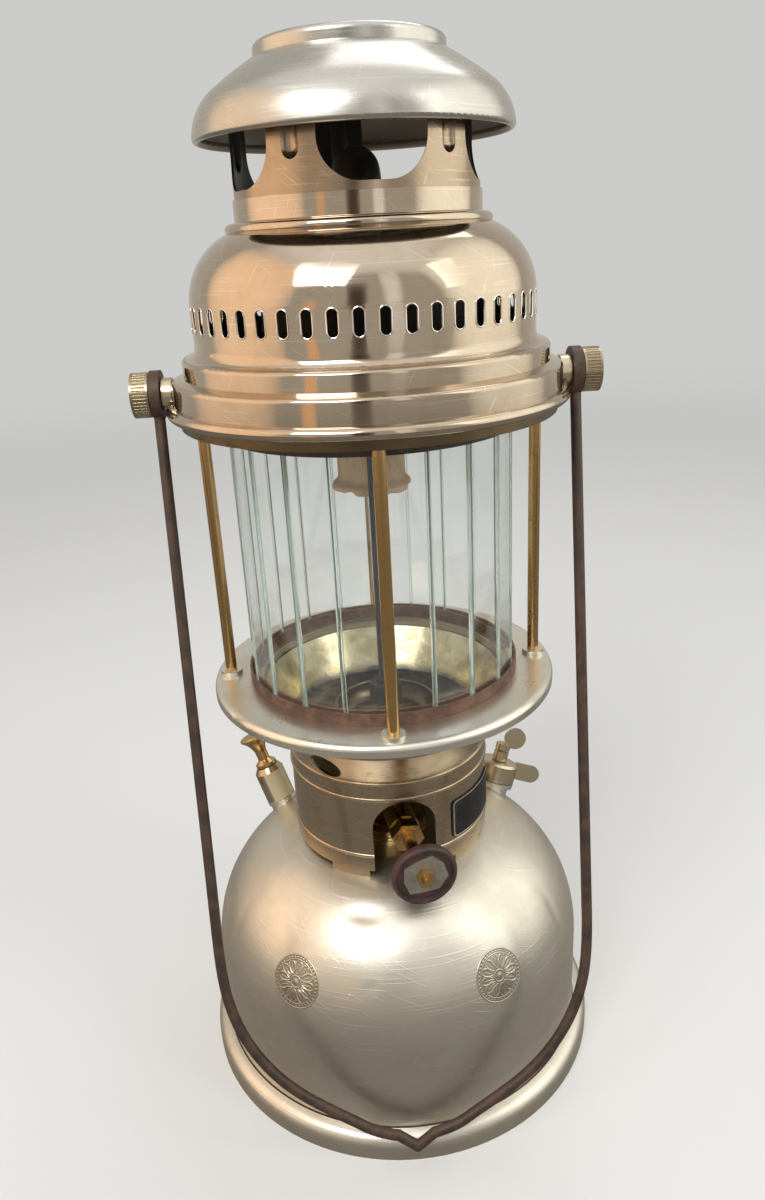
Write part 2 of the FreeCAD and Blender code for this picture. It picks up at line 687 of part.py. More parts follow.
def filler_seal():
    low = FILLER_STAND + SEAM
    ring = rod(FILLER_R, low, low + FILLER_SEAL_H, bore=FILLER_BORE - 1)
    return laid(ring, FILLER_POINT, FILLER_DIR)


def filler_cap():
    low = FILLER_FLANGE_H + CLEAR
    roof = FILLER_STAND + FILLER_SEAL_H + 2 * SEAM
    top = roof + FILLER_CAP_ROOF
    body = turned((0, low), (FILLER_CAP_R, low), (FILLER_CAP_R, top - 1), (FILLER_CAP_R - 1, top), (0, top))
    wing_middle = (low + top) / 2 + 1.0
    end = Part.makeCylinder(WING_H / 2, WING_THICK, V(WING_REACH - WING_H / 2, -WING_THICK / 2, wing_middle),
                            V(0, 1, 0))
    root = Part.makeBox(WING_REACH - WING_H / 2 - FILLER_CAP_R + 1, WING_THICK, WING_H,
                        V(FILLER_CAP_R - 1, -WING_THICK / 2, wing_middle - WING_H / 2))
    wing = root.fuse(end)
    body = body.fuse(wing).fuse(around(wing, 2)[1])
    body = body.cut(rod(FILLER_R + RUN, low - 1, roof))
    body = body.cut(rod(AIR_STEM_R + RUN, low, top + 1))
    body.rotate(ORIGIN, Z_AXIS, -30)
    return laid(body, FILLER_POINT, FILLER_DIR)


def air_screw():
    top = FILLER_STAND + FILLER_SEAL_H + 2 * SEAM + FILLER_CAP_ROOF
    low = top + CLEAR
    stem = rod(AIR_STEM_R, top - FILLER_CAP_ROOF - 1, low + 1)
    head = turned((0, low), (AIR_R, low), (AIR_R, low + AIR_H * 0.55), (AIR_R - 0.7, low + AIR_H * 0.6),
                  (AIR_R, low + AIR_H * 0.66), (AIR_R, low + AIR_H), (0, low + AIR_H))
    tab_middle = low + AIR_H + AIR_TAB_R - 1.5
    tab = Part.makeCylinder(AIR_TAB_R, AIR_TAB_THICK, V(AIR_TAB_R - 0.5, -AIR_TAB_THICK / 2, tab_middle), V(0, 1, 0))
    body = stem.fuse(head).fuse(tab)
    body.rotate(ORIGIN, Z_AXIS, -25)
    return laid(body, FILLER_POINT, FILLER_DIR)


# Guard frame

def collar():
    flange_z = PLATE_TOP - PLATE_WALL - SEAM - COLLAR_WALL
    low = dome_z(COLLAR_R)
    throat = COLLAR_FLARE_R + COLLAR_THROAT
    wire = outline((COLLAR_R, low), (COLLAR_R, COLLAR_CONE_Z), (COLLAR_FLARE_R, COLLAR_CONE_Z + COLLAR_FLARE_H),
                   (throat, flange_z), (throat + COLLAR_FLANGE, flange_z))
    body = sheet(wire, COLLAR_WALL)
    for z in COLLAR_BEADS:
        half = COLLAR_BEAD_H / 2
        bead = turned((COLLAR_R - 0.2, z - half), (COLLAR_R, z - half),
                      ((COLLAR_R + COLLAR_BEAD_OUT, z), (COLLAR_R, z + half)), (COLLAR_R - 0.2, z + half))
        body = body.fuse(bead)
    step = turned((COLLAR_R - 3, low - 1), (COLLAR_R + 3, low - 1),
                  (COLLAR_R + 3, low + COLLAR_FOOT), (COLLAR_R - 3, low + COLLAR_FOOT))
    reach = (COLLAR_R + 6) * math.tan(math.radians(TAB_ARC / 2))
    for azimuth in TAB_AZIMUTHS:
        wedge = Part.makeBox(2 * reach, COLLAR_R + 6, COLLAR_FOOT + 6, V(-reach, -COLLAR_R - 6, low - 2))
        wedge.rotate(ORIGIN, Z_AXIS, azimuth)
        step = step.cut(wedge)
    body = body.cut(step)
    half = ARCH_WIDTH / 2
    arch = Part.makeBox(ARCH_WIDTH, COLLAR_R, ARCH_TOP_Z - half - low + 2, V(-half, -COLLAR_R - 6, low - 2))
    arch = arch.fuse(Part.makeCylinder(half, COLLAR_R, V(0, -COLLAR_R - 6, ARCH_TOP_Z - half), V(0, 1, 0)))
    arch.rotate(ORIGIN, Z_AXIS, SPINDLE_AZ / 2)
    vent = Part.makeCylinder(VENT_R, COLLAR_FLARE_R, out(VENT_AZ, 10, VENT_Z), out(VENT_AZ))
    return body.cut(arch).cut(vent).cut(dome_cutter())


def dome_cutter():
    """The tank's outer form with a seam around it, to trim what stands on the tank."""
    reach = COLLAR_R + 8
    points = [(TANK_FLAT_R, TANK_SHOULDER_Z), (reach, TANK_SHOULDER_Z)]
    steps = 12
    for k in range(steps + 1):
        radius = reach - k * (reach - TANK_FLAT_R) / steps
        points.append((radius, dome_z(radius) + SEAM))
    return turned(*points)


def rod_places(radius):
    return [out(k * 360.0 / ROD_COUNT, radius) for k in range(ROD_COUNT)]


def gallery_plate():
    turn = PLATE_ROLL * math.sqrt(0.5)
    centre_r = PLATE_R - PLATE_ROLL
    centre_z = PLATE_TOP - PLATE_ROLL
    wire = outline((PLATE_R, centre_z - PLATE_LIP), (PLATE_R, centre_z),
                   ((centre_r + turn, centre_z + turn), (centre_r, PLATE_TOP)), (PLATE_HOLE_R, PLATE_TOP))
    plate = sheet(wire, PLATE_WALL)
    for place in rod_places(ROD_CIRCLE):
        plate = plate.cut(rod(ROD_R + SEAM, PLATE_TOP - 4, PLATE_TOP + 4, place))
    return plate


def guard_rods():
    low = PLATE_TOP - PLATE_WALL - ROD_HEAD
    high = RING_FLANGE_Z + RING_WALL + ROD_HEAD
    rods = []
    for place in rod_places(ROD_CIRCLE):
        shank = rod(ROD_R, low, high, place)
        foot = rod(ROD_R + 0.8, low, low + ROD_HEAD - SEAM, place)
        head = rod(ROD_R + 0.8, high - ROD_HEAD + SEAM, high, place)
        rods.append(shank.fuse(foot).fuse(head))
    return Part.makeCompound(rods)


def rod_collars():
    low = PLATE_TOP + SEAM
    rings = [rod(ROD_COLLAR_R, low, low + ROD_COLLAR_H, place, ROD_R + SEAM) for place in rod_places(ROD_CIRCLE)]
    return Part.makeCompound(rings)


def upper_ring():
    ring = turned((RING_FLANGE_R, RING_FLANGE_Z), (RING_R, RING_FLANGE_Z), (RING_R, RING_TOP_Z),
                  (RING_R - RING_WALL, RING_TOP_Z), (RING_R - RING_WALL, RING_FLANGE_Z + RING_WALL),
                  (RING_FLANGE_R, RING_FLANGE_Z + RING_WALL))
    for place in rod_places(ROD_CIRCLE):
        ring = ring.cut(rod(ROD_R + SEAM, RING_FLANGE_Z - 1, RING_FLANGE_Z + 3, place))
    stud_hole = Part.makeCylinder(STUD_R + SEAM, 2 * RING_R + 10, V(-RING_R - 5, 0, PIVOT_Z), X_AXIS)
    return ring.cut(stud_hole)


def data_plate():
    inner = COLLAR_R + SEAM
    band = turned((inner, DATA_Z - DATA_H / 2), (inner + DATA_THICK, DATA_Z - DATA_H / 2),
                  (inner + DATA_THICK, DATA_Z + DATA_H / 2), (inner, DATA_Z + DATA_H / 2))
    half = COLLAR_R * math.radians(DATA_ARC / 2)
    window = Part.makeBox(2 * half, COLLAR_R, DATA_H + 2, V(-half, -COLLAR_R - 5, DATA_Z - DATA_H / 2 - 1))
    window.rotate(ORIGIN, Z_AXIS, DATA_AZ)
    return band.common(window)


# Glass

def channel(low, closed_low):
    inner = SLAT_APOTHEM - SLAT_THICK / 2 - CLEAR
    outer = math.hypot(SLAT_APOTHEM + SLAT_THICK / 2, slat_width() / 2) + CLEAR
    ring = turned((inner - CHANNEL_WALL, low), (outer + CHANNEL_WALL, low),
                  (outer + CHANNEL_WALL, low + CHANNEL_H), (inner - CHANNEL_WALL, low + CHANNEL_H))
    cut_low = low + CHANNEL_WALL if closed_low else low - 1
    groove = turned((inner, cut_low), (outer, cut_low),
                    (outer, cut_low + CHANNEL_H - CHANNEL_WALL + 1), (inner, cut_low + CHANNEL_H - CHANNEL_WALL + 1))
    return ring.cut(groove)


def slat_width():
    inner = SLAT_APOTHEM - SLAT_THICK / 2
    return 2 * inner * math.tan(math.pi / SLAT_COUNT) - SLAT_GAP


def glass_lower_ring():
    return channel(GLASS_RING_Z, True)


def glass_upper_ring():
    return channel(GLASS_TOP_Z - CHANNEL_H, False)


def glass_slats():
    width = slat_width()
    slat = Part.makeBox(width, SLAT_THICK, SLAT_TOP_Z - SLAT_LOW_Z,
                        V(-width / 2, -SLAT_APOTHEM - SLAT_THICK / 2, SLAT_LOW_Z))
    return Part.makeCompound(around(slat, SLAT_COUNT, 180.0 / SLAT_COUNT))


# Burner

def clay_nozzle():
    low = NOZZLE_LOW_Z
    top = low + NOZZLE_H
    body = turned((NOZZLE_BORE, low + 2), (NOZZLE_R - 1, low), (NOZZLE_R, low + 0.8), (NOZZLE_R, low + NOZZLE_LIP),
                  (NOZZLE_TOP_R, low + NOZZLE_LIP + 2.5), (NOZZLE_TOP_R, top), (NOZZLE_BORE, top))
    body.translate(BURNER_POINT)
    return body


def burner_head():
    low = NOZZLE_LOW_Z + NOZZLE_H + SEAM
    high = CASING_Z - SEAM
    return rod(HEAD_R, low, high, BURNER_POINT, MIX_R - MIX_WALL)


def inner_casing():
    flange = rod(CASING_R, CASING_Z, CASING_Z + CASING_WALL, bore=CASING_TUBE_R - CASING_WALL)
    for place in rod_places(ROD_CIRCLE):
        flange = flange.cut(rod(ROD_R + 0.8 + CLEAR, CASING_Z - 1, CASING_Z + 3, place))
    tube = rod(CASING_TUBE_R, CASING_Z, CASING_TOP_Z, bore=CASING_TUBE_R - CASING_WALL)
    span = CASING_TUBE_R - CASING_WALL / 2
    bridge = Part.makeBox(BRIDGE_WIDTH, 2 * span, 2 * CASING_WALL, V(-BRIDGE_WIDTH / 2, -span, CASING_Z))
    bridge = bridge.common(rod(span, CASING_Z - 1, CASING_Z + 5))
    bridge = bridge.cut(rod(MIX_R + SEAM, CASING_Z - 1, CASING_Z + 5, BURNER_POINT))
    bridge = bridge.cut(rod(JET_R + 4, CASING_Z - 1, CASING_Z + 5, VALVE_POINT))
    return flange.fuse(tube).fuse(bridge)


def mixing_tube():
    middle = (BURNER_Y + VALVE_Y) / 2
    rear = rod(MIX_R, CASING_Z + SEAM, MIX_BEND_Z, BURNER_POINT)
    front = rod(MIX_R, MIX_INLET_Z, MIX_BEND_Z, VALVE_POINT)
    rear_bore = rod(MIX_R - MIX_WALL, CASING_Z - 1, MIX_BEND_Z, BURNER_POINT)
    front_bore = rod(MIX_R - MIX_WALL, MIX_INLET_Z - 1, MIX_BEND_Z, VALVE_POINT)
    bend = half_turn(MIX_R, middle)
    bend_bore = half_turn(MIX_R - MIX_WALL, middle)
    return rear.fuse(front).fuse(bend).cut(rear_bore).cut(front_bore).cut(bend_bore)


def half_turn(radius, middle):
    """Half ring of round bar over the two legs of the mixing tube."""
    disc = Part.Face(Part.Wire([Part.makeCircle(radius, V(0, BURNER_Y, MIX_BEND_Z), Z_AXIS)]))
    return disc.revolve(V(0, middle, MIX_BEND_Z), X_AXIS, 180)


# Hood

def hood_shell():
    crown_middle = (HOOD_CROWN_R + (HOOD_DOME_R - HOOD_CROWN_R) * 0.68,
                    HOOD_DOME_Z + (HOOD_CROWN_Z - HOOD_DOME_Z) * 0.62)
    wire = outline((HOOD_BAND_R, HOOD_RIM_Z), (HOOD_BAND_R, HOOD_STEP_Z - 1.5),
                   ((HOOD_BAND_R - 0.44, HOOD_STEP_Z - 0.44), (HOOD_BAND_R - 1.5, HOOD_STEP_Z)),
                   (HOOD_STEP_R, HOOD_STEP_Z + 0.9), (HOOD_STEP_R, HOOD_SHOULDER_Z - 1.4),
                   ((HOOD_STEP_R - 0.41, HOOD_SHOULDER_Z - 0.41), (HOOD_STEP_R - 1.4, HOOD_SHOULDER_Z)),
                   ((HOOD_DOME_R + 0.9, HOOD_SHOULDER_Z + 1.3), (HOOD_DOME_R, HOOD_SHOULDER_Z + 4)),
                   (HOOD_DOME_R, HOOD_DOME_Z), (crown_middle, (HOOD_CROWN_R, HOOD_CROWN_Z)),
                   (HOOD_NECK_R, HOOD_CROWN_Z + 1.6), (HOOD_NECK_R, HOOD_NECK_TOP))
    body = sheet(wire, HOOD_WALL)
    body = body.fuse(torus(HOOD_BAND_R + 0.7, HOOD_BEAD, HOOD_RIM_Z).cut(rod(HOOD_BAND_R - HOOD_WALL, 0, CAP_TOP_Z)))
    body = body.fuse(torus(HOOD_NECK_R - 0.3, 1.3, HOOD_CROWN_Z + 2.2).cut(rod(HOOD_NECK_R - HOOD_WALL, 0, CAP_TOP_Z)))
    body = body.cut(Part.makeCompound(around(vent_slot(), SLOT_COUNT, SLOT_TURN)))
    for side in (0, 180):
        notch = stud_notch()
        notch.rotate(ORIGIN, Z_AXIS, side)
        body = body.cut(notch)
    return body


def vent_slot():
    """Upright rounded slot through the front of the dome."""
    half = SLOT_WIDTH / 2
    straight = SLOT_H - SLOT_WIDTH
    start = -HOOD_DOME_R + SLOT_REACH
    depth = 2 * SLOT_REACH
    box = Part.makeBox(SLOT_WIDTH, depth, straight, V(-half, start - depth, SLOT_Z - straight / 2))
    low = Part.makeCylinder(half, depth, V(0, start, SLOT_Z - straight / 2), V(0, -1, 0))
    high = Part.makeCylinder(half, depth, V(0, start, SLOT_Z + straight / 2), V(0, -1, 0))
    return box.fuse(low).fuse(high)


def stud_notch():
    """Open-ended slot in the skirt at +X, with room for the bush at the rim bead."""
    half = STUD_R + CLEAR + 0.2
    low = HOOD_RIM_Z - HOOD_BEAD - 1
    start = HOOD_BAND_R - NOTCH_REACH
    depth = 2 * NOTCH_REACH
    slot = Part.makeBox(depth, 2 * half, PIVOT_Z - low, V(start, -half, low))
    slot = slot.fuse(Part.makeCylinder(half, depth, V(start, 0, PIVOT_Z), X_AXIS))
    room = BUSH_R + CLEAR
    relief = Part.makeBox(depth, 2 * room, HOOD_RIM_Z + HOOD_BEAD + 1 - low, V(start, -room, low))
    return slot.fuse(relief)


def chimney_gallery():
    outer = HOOD_NECK_R - HOOD_WALL - SEAM
    upright = Part.makeLine(V(outer, 0, CAP_RIM_Z), V(outer, 0, CAP_TOP_Z))
    seat = upright.distToShape(cap_outline())[1][0][0].z - 1.5 * CAP_WALL
    body = rod(outer, HOOD_CROWN_Z + 2.5, seat, bore=outer - GALLERY_WALL)
    half = outer * math.sin(math.radians(WINDOW_ARC / 2))
    low = WINDOW_LOW_Z
    back = -outer - 4
    depth = outer * 0.6
    frame = Part.makeBox(2 * half, depth, WINDOW_TOP_Z - low - WINDOW_ROUND, V(-half, back, low + WINDOW_ROUND))
    floor = Part.makeBox(2 * (half - WINDOW_ROUND), depth, WINDOW_ROUND + 1, V(WINDOW_ROUND - half, back, low))
    window = frame.fuse(floor)
    for side in (-1, 1):
        corner = V(side * (half - WINDOW_ROUND), back, low + WINDOW_ROUND)
        window = window.fuse(Part.makeCylinder(WINDOW_ROUND, depth, corner, V(0, 1, 0)))
    body = body.cut(Part.makeCompound(around(window, WINDOW_COUNT, WINDOW_TURN)))
    first = WINDOW_TURN + 180.0 / WINDOW_COUNT
    for pressed in around(flute(outer, seat, FLUTE_R + GALLERY_WALL), WINDOW_COUNT, first):
        body = body.fuse(pressed.common(rod(outer - GALLERY_WALL / 2, FLUTE_LOW_Z - 9, seat)))
    for pressed in around(flute(outer, seat + 1, FLUTE_R), WINDOW_COUNT, first):
        body = body.cut(pressed)
    return body


def flute(outer, top, radius):
    """Upright round-ended bar that presses a flute into the front of the gallery."""
    axis = V(0, -outer - FLUTE_R + FLUTE_DEPTH, FLUTE_LOW_Z)
    return Part.makeCylinder(radius, top - FLUTE_LOW_Z, axis).fuse(Part.makeSphere(radius, axis))


def cap_outline():
    """Outer face of the mushroom cap, from its rim up to its dished crown."""
    brow = (CAP_RIM_R - CAP_BROW_IN, CAP_RIM_Z + CAP_BROW_H)
    return outline((CAP_RIM_R, CAP_RIM_Z), ((CAP_RIM_R - 2.2, CAP_RIM_Z + 7.2), brow),
                   ((CAP_NECK_R + 7.4, CAP_NECK_Z - 3.5), (CAP_NECK_R + 1.6, CAP_NECK_Z)),
                   (CAP_NECK_R, CAP_NECK_Z + 0.6), (CAP_NECK_R, CAP_TOP_Z - 2),
                   ((CAP_NECK_R - 0.59, CAP_TOP_Z - 0.59), (CAP_NECK_R - 2, CAP_TOP_Z)),
                   (CAP_NECK_R - 4, CAP_TOP_Z), (CAP_NECK_R - 6, CAP_TOP_Z - CAP_DISH), (0, CAP_TOP_Z - CAP_DISH))


def top_cap():
    body = sheet(cap_outline(), CAP_WALL)
    return body.fuse(torus(CAP_RIM_R - CAP_RIM_ROLL, CAP_RIM_ROLL, CAP_RIM_Z - 0.3))


# Bail and its pivots

def pivot_studs():
    wall = RING_R - RING_WALL
    shank = Part.makeCylinder(STUD_R, STUD_END - wall + STUD_HEAD, V(wall - STUD_HEAD, 0, PIVOT_Z), X_AXIS)
    head = Part.makeCylinder(STUD_HEAD_R, STUD_HEAD, V(wall - STUD_HEAD - CLEAR, 0, PIVOT_Z), X_AXIS)
    return beside(shank.fuse(head))


def pivot_bushes():
    return beside(x_ring(BUSH_R, BUSH_FROM, BUSH_LENGTH, STUD_R + SEAM))


def x_ring(radius, start, length, bore):
    """Ring about the pivot axis."""
    body = Part.makeCylinder(radius, length, V(start, 0, PIVOT_Z), X_AXIS)
    return body.cut(Part.makeCylinder(bore, length + 2, V(start - 1, 0, PIVOT_Z), X_AXIS))


def bail_nut():
    body = x_ring(NUT_R, NUT_FROM, NUT_LENGTH, STUD_R + RUN)
    groove = Part.makeCylinder(0.35, NUT_LENGTH - 1.6, V(NUT_FROM + 0.8, 0, PIVOT_Z + NUT_R), X_AXIS)
    grooves = []
    for k in range(NUT_KNURLS):
        copy = groove.copy()
        copy.rotate(V(0, 0, PIVOT_Z), X_AXIS, k * 360.0 / NUT_KNURLS)
        grooves.append(copy)
    return body.cut(Part.makeCompound(grooves))


def bail_nut_right():
    return bail_nut()


def bail_nut_left():
    return around(bail_nut(), 2)[1]


def bail_lean():
    """Lean of the bail's plane, and the reach of its notch, where the notch rests on the foot's rounding."""
    a = math.radians(BAIL_CONTACT)
    reach = FOOT_ROUND + BAIL_WIRE_R + CLEAR
    forward = FOOT_R - FOOT_ROUND + reach * math.cos(a)
    drop = PIVOT_Z - FOOT_STRAIGHT - reach * math.sin(a)
    return math.degrees(math.atan2(forward, drop)), math.hypot(forward, drop)


def bail():
    lean, notch = bail_lean()
    crown = notch - BAIL_NOTCH
    foot_x = EYE_X - BAIL_TAPER
    arch = [(foot_x - inset, crown - rise) for inset, rise in BAIL_ARCH] + [(BAIL_NOTCH_HALF, crown)]
    start = V(EYE_X, 0, -EYE_R + 1)
    knee = V(foot_x, 0, -arch[0][1])
    shoulder = V(BAIL_NOTCH_HALF, 0, -crown)
    tip = V(0, 0, -notch)
    spline = Part.BSplineCurve()
    spline.interpolate([V(x, 0, -d) for x, d in arch], InitialTangent=knee - start, FinalTangent=V(-1, 0, -0.22))
    path = Part.Wire([Part.makeLine(start, knee), spline.toShape()])
    profile = Part.Wire([Part.makeCircle(BAIL_WIRE_R, start, knee - start)])
    leg = path.makePipeShell([profile], True, False)
    dip = Part.makeCylinder(BAIL_WIRE_R, (tip - shoulder).Length, shoulder, tip - shoulder)
    eye = Part.makeCylinder(EYE_R, EYE_THICK, V(EYE_FROM, 0, 0), X_AXIS)
    half = leg.fuse(dip).fuse(Part.makeSphere(BAIL_WIRE_R, shoulder)).fuse(eye)
    body = half.fuse(half.mirror(ORIGIN, X_AXIS)).fuse(Part.makeSphere(BAIL_WIRE_R, tip))
    body = body.cut(Part.makeCylinder(STUD_R + RUN, 4 * EYE_X, V(-2 * EYE_X, 0, 0), X_AXIS))
    body.rotate(ORIGIN, X_AXIS, -lean)
    body.translate(V(0, 0, PIVOT_Z))
    return body


PARTS = (foot_ring, tank_shell, tank_bottom, tank_neck, valve_body, pickup_tube, gland_packing, gland_nut,
         vaporiser_tube, vaporiser_union, jet_nipple, preheat_cup, inner_tray, needle_rod, cleaning_needle,
         spindle, hand_wheel, wheel_plate, wheel_nut, pump_barrel, pump_check_valve, pump_cap, pump_rod,
         pump_leather, pump_washers, pump_knob, filler_neck, filler_seal, filler_cap, air_screw, collar,
         gallery_plate, guard_rods, rod_collars, upper_ring, data_plate, glass_lower_ring, glass_upper_ring,
         glass_slats, clay_nozzle, burner_head, inner_casing, mixing_tube, hood_shell, chimney_gallery, top_cap,
         pivot_studs, pivot_bushes, bail_nut_right, bail_nut_left, bail)

os.makedirs("parts", exist_ok=True)
for make in PARTS:
    shape = make()
    shape.exportStep(f"parts/{make.__name__}.step")
    print(make.__name__, shape.ShapeType, "solids", len(shape.Solids), "valid", shape.isValid(),
          "volume", round(shape.Volume, 1))
print("bail leans", round(bail_lean()[0], 3), "reaches", round(bail_lean()[1], 2))
print("spindle", SPINDLE_POINT, SPINDLE_DIR)
print("pump", PUMP_POINT, PUMP_DIR)
print("filler", FILLER_POINT, FILLER_DIR)
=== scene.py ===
# %% [markdown]
# # Dressing a pressurised paraffin lantern
#
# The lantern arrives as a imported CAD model: a tank on a foot ring, a pump, a filler, a control wheel, a
# burner behind glass slats, a vented hood and a wire bail. The CAD already has every size and joint, so this
# lesson adds what CAD leaves out: dents, ground glass edges, worn plating, brass, rust and soft light.

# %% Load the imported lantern
import json
import math
import bpy
import numpy as np
from mathutils import Matrix, Vector


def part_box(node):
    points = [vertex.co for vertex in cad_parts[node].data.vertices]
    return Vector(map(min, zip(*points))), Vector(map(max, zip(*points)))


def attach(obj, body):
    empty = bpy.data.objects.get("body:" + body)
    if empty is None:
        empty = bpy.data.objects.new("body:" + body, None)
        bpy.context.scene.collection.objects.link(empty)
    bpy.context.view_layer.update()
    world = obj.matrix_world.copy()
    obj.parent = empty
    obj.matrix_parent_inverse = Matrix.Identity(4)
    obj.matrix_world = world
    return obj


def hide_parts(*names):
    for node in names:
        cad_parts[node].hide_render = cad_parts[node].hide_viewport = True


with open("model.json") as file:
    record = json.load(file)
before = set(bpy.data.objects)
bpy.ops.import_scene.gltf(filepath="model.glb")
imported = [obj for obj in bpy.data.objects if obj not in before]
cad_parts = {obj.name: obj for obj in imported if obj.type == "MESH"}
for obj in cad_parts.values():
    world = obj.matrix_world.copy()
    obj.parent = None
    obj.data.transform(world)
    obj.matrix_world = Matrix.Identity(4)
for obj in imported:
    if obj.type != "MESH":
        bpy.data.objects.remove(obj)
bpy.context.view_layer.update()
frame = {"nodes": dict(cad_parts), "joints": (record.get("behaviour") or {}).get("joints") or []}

nodes = frame["nodes"]
MM = 0.001

# %% [markdown]
# ## Camera
#
# The camera stands close and looks down on the lantern, so the foot looks small and the hood large. That
# perspective decides every proportion in the picture, so the camera is made first. Its place, aim and focal
# length were found by fitting the lantern's rings to their ellipses in the photograph.

# %% Camera at the photograph's viewing angle
IMAGE_HEIGHT = 1200
FOCAL_PIXELS = 924.0
SENSOR = 36.0
CAMERA_PLACE = Vector((-12.0, -340.0, 335.5)) * MM
CAMERA_TURN = math.radians(2.2)
CAMERA_DIP = math.radians(21.5)
CAMERA_ROLL = math.radians(-3.1)
NEAREST = 10.0 * MM

forward = Vector((math.sin(CAMERA_TURN) * math.cos(CAMERA_DIP),
                  math.cos(CAMERA_TURN) * math.cos(CAMERA_DIP), -math.sin(CAMERA_DIP)))
level = forward.cross(Vector((0, 0, 1))).normalized()
above = level.cross(forward)
right = level * math.cos(CAMERA_ROLL) + above * math.sin(CAMERA_ROLL)
upward = above * math.cos(CAMERA_ROLL) - level * math.sin(CAMERA_ROLL)
camera = bpy.data.objects.new("camera", bpy.data.cameras.new("camera"))
camera.data.sensor_width = SENSOR
camera.data.lens = SENSOR * FOCAL_PIXELS / IMAGE_HEIGHT
camera.data.clip_start = NEAREST
camera.matrix_world = Matrix((right, upward, -forward)).transposed().to_4x4()
camera.location = CAMERA_PLACE
bpy.context.scene.collection.objects.link(camera)
bpy.context.scene.camera = camera
print("lens", round(camera.data.lens, 2), "mm")

# %% [markdown]
# ## Surfaces from arrays
#
# Every new piece is a grid of points: a function of two parameters, worked out as one numpy array. Small
# helpers turn such a grid into a mesh: one lists the corners of its cells, another makes the object, gives it
# its finish and lets it ride on a body of the lantern. The last three place points and angles around an axis.

# %% Helpers for grids and pieces
CREASE = 35.0


def cells(rows, columns, wrap_rows=False, wrap_columns=False):
    """Quads of a grid: cell (i, j) joins points (i, j), (i+1, j), (i+1, j+1) and (i, j+1)."""
    row_steps = np.arange(rows - (not wrap_rows))
    column_steps = np.arange(columns - (not wrap_columns))
    i, j = np.meshgrid(row_steps, column_steps, indexing="ij")
    here = i * columns
    next_row = (i + 1) % rows * columns
    next_j = (j + 1) % columns
    return np.stack([here + j, next_row + j, next_row + next_j, here + next_j], -1).reshape(-1, 4)


def repeated(points, faces):
    """Faces of a stack of equal grids: points is copies x vertices x 3, and each copy's faces are shifted."""
    shift = np.arange(points.shape[0])[:, None, None] * points.shape[1]
    return (faces[None] + shift).reshape(-1, 4)


def new_piece(name, points, faces, finish, body, crease=CREASE):
    """Mesh object at the origin, smooth except where faces meet more sharply than the crease angle."""
    mesh = bpy.data.meshes.new(name)
    mesh.from_pydata(points.reshape(-1, 3), [], faces)
    mesh.shade_smooth()
    mesh.set_sharp_from_angle(angle=math.radians(crease))
    mesh.materials.append(finish)
    piece = bpy.data.objects.new(name, mesh)
    bpy.context.scene.collection.objects.link(piece)
    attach(piece, body)
    print(name, len(mesh.polygons), "faces")
    return piece


def point_values(piece, name, values):
    """Stores one number per point on the mesh, for a finish to read."""
    attribute = piece.data.attributes.new(name, "FLOAT", "POINT")
    attribute.data.foreach_set("value", np.asarray(values, np.float32).ravel())


def around_z(azimuth, radius, z):
    """Points at an azimuth in radians from the front (-Y) towards +X, at a radius and a height."""
    return np.stack(np.broadcast_arrays(radius * np.sin(azimuth), -radius * np.cos(azimuth), z), -1)


def turned_from(angle, start):
    """Angle counted from a start, brought between minus and plus half a turn."""
    return np.angle(np.exp(1j * (angle - start)))


def full_turn(steps):
    """Angles of equal steps once around, without the last, which is the first again."""
    return np.linspace(0, 2 * math.pi, steps, endpoint=False)


# %% [markdown]
# ## Studio
#
# A plain pale floor and soft light show the shapes without telling a story. Polished plating only shows what
# surrounds it, though, and in an empty white room it would look like paper. So reflections see a darker world
# and a darker floor than the camera does. Softboxes make the highlights, and a few cards with soft edges,
# seen by reflections alone, give the plating something warm and something black.

# %% World, floor, softboxes and cards
WORLD_GREY = (0.60, 0.60, 0.59, 1)
WORLD_MIRRORED = (0.56, 0.53, 0.475, 1)
FLOOR_COLOUR = (0.76, 0.755, 0.74, 1)
FLOOR_MIRRORED = (0.22, 0.205, 0.185, 1)
FLOOR_ROUGHNESS = 0.75
FLOOR_GLOSS = 0.2
FLOOR_REACH = 3.0
FADE_FROM = 0.7
FADE_TO = 2.2
AIM = Vector((0, 0, 0.19))
# Name, azimuth and elevation in degrees, distance, width and height in metres, watts
SOFTBOXES = (
    ("key_light", -30, 48, 1.0, (0.5, 0.5), 5.0),
    ("fill_light", 60, 35, 1.1, (0.3, 0.6), 2.2),
    ("top_light", 150, 65, 1.1, (0.6, 0.6), 2.5),
)
# Name, azimuth and elevation in degrees, width and height in metres, colour, strength
CARDS = (
    ("ceiling", 0, 80, (1.3, 1.3), (1.0, 0.98, 0.94), 1.12),
    ("window", 16, 24, (0.18, 0.9), (1.0, 0.98, 0.95), 1.1),
    ("warm_wall", -84, 26, (1.3, 1.3), (1.0, 0.74, 0.52), 1.5),
    ("warm_lamp", -34, 4, (0.14, 0.5), (1.0, 0.62, 0.36), 1.0),
    ("olive_wall", 84, 26, (1.3, 1.3), (0.96, 0.94, 0.84), 1.65),
    ("dark_card", -6, 14, (0.2, 0.8), (0.10, 0.075, 0.06), 1.0),
)
CARD_DISTANCE = 0.9
CARD_POINTS = 17


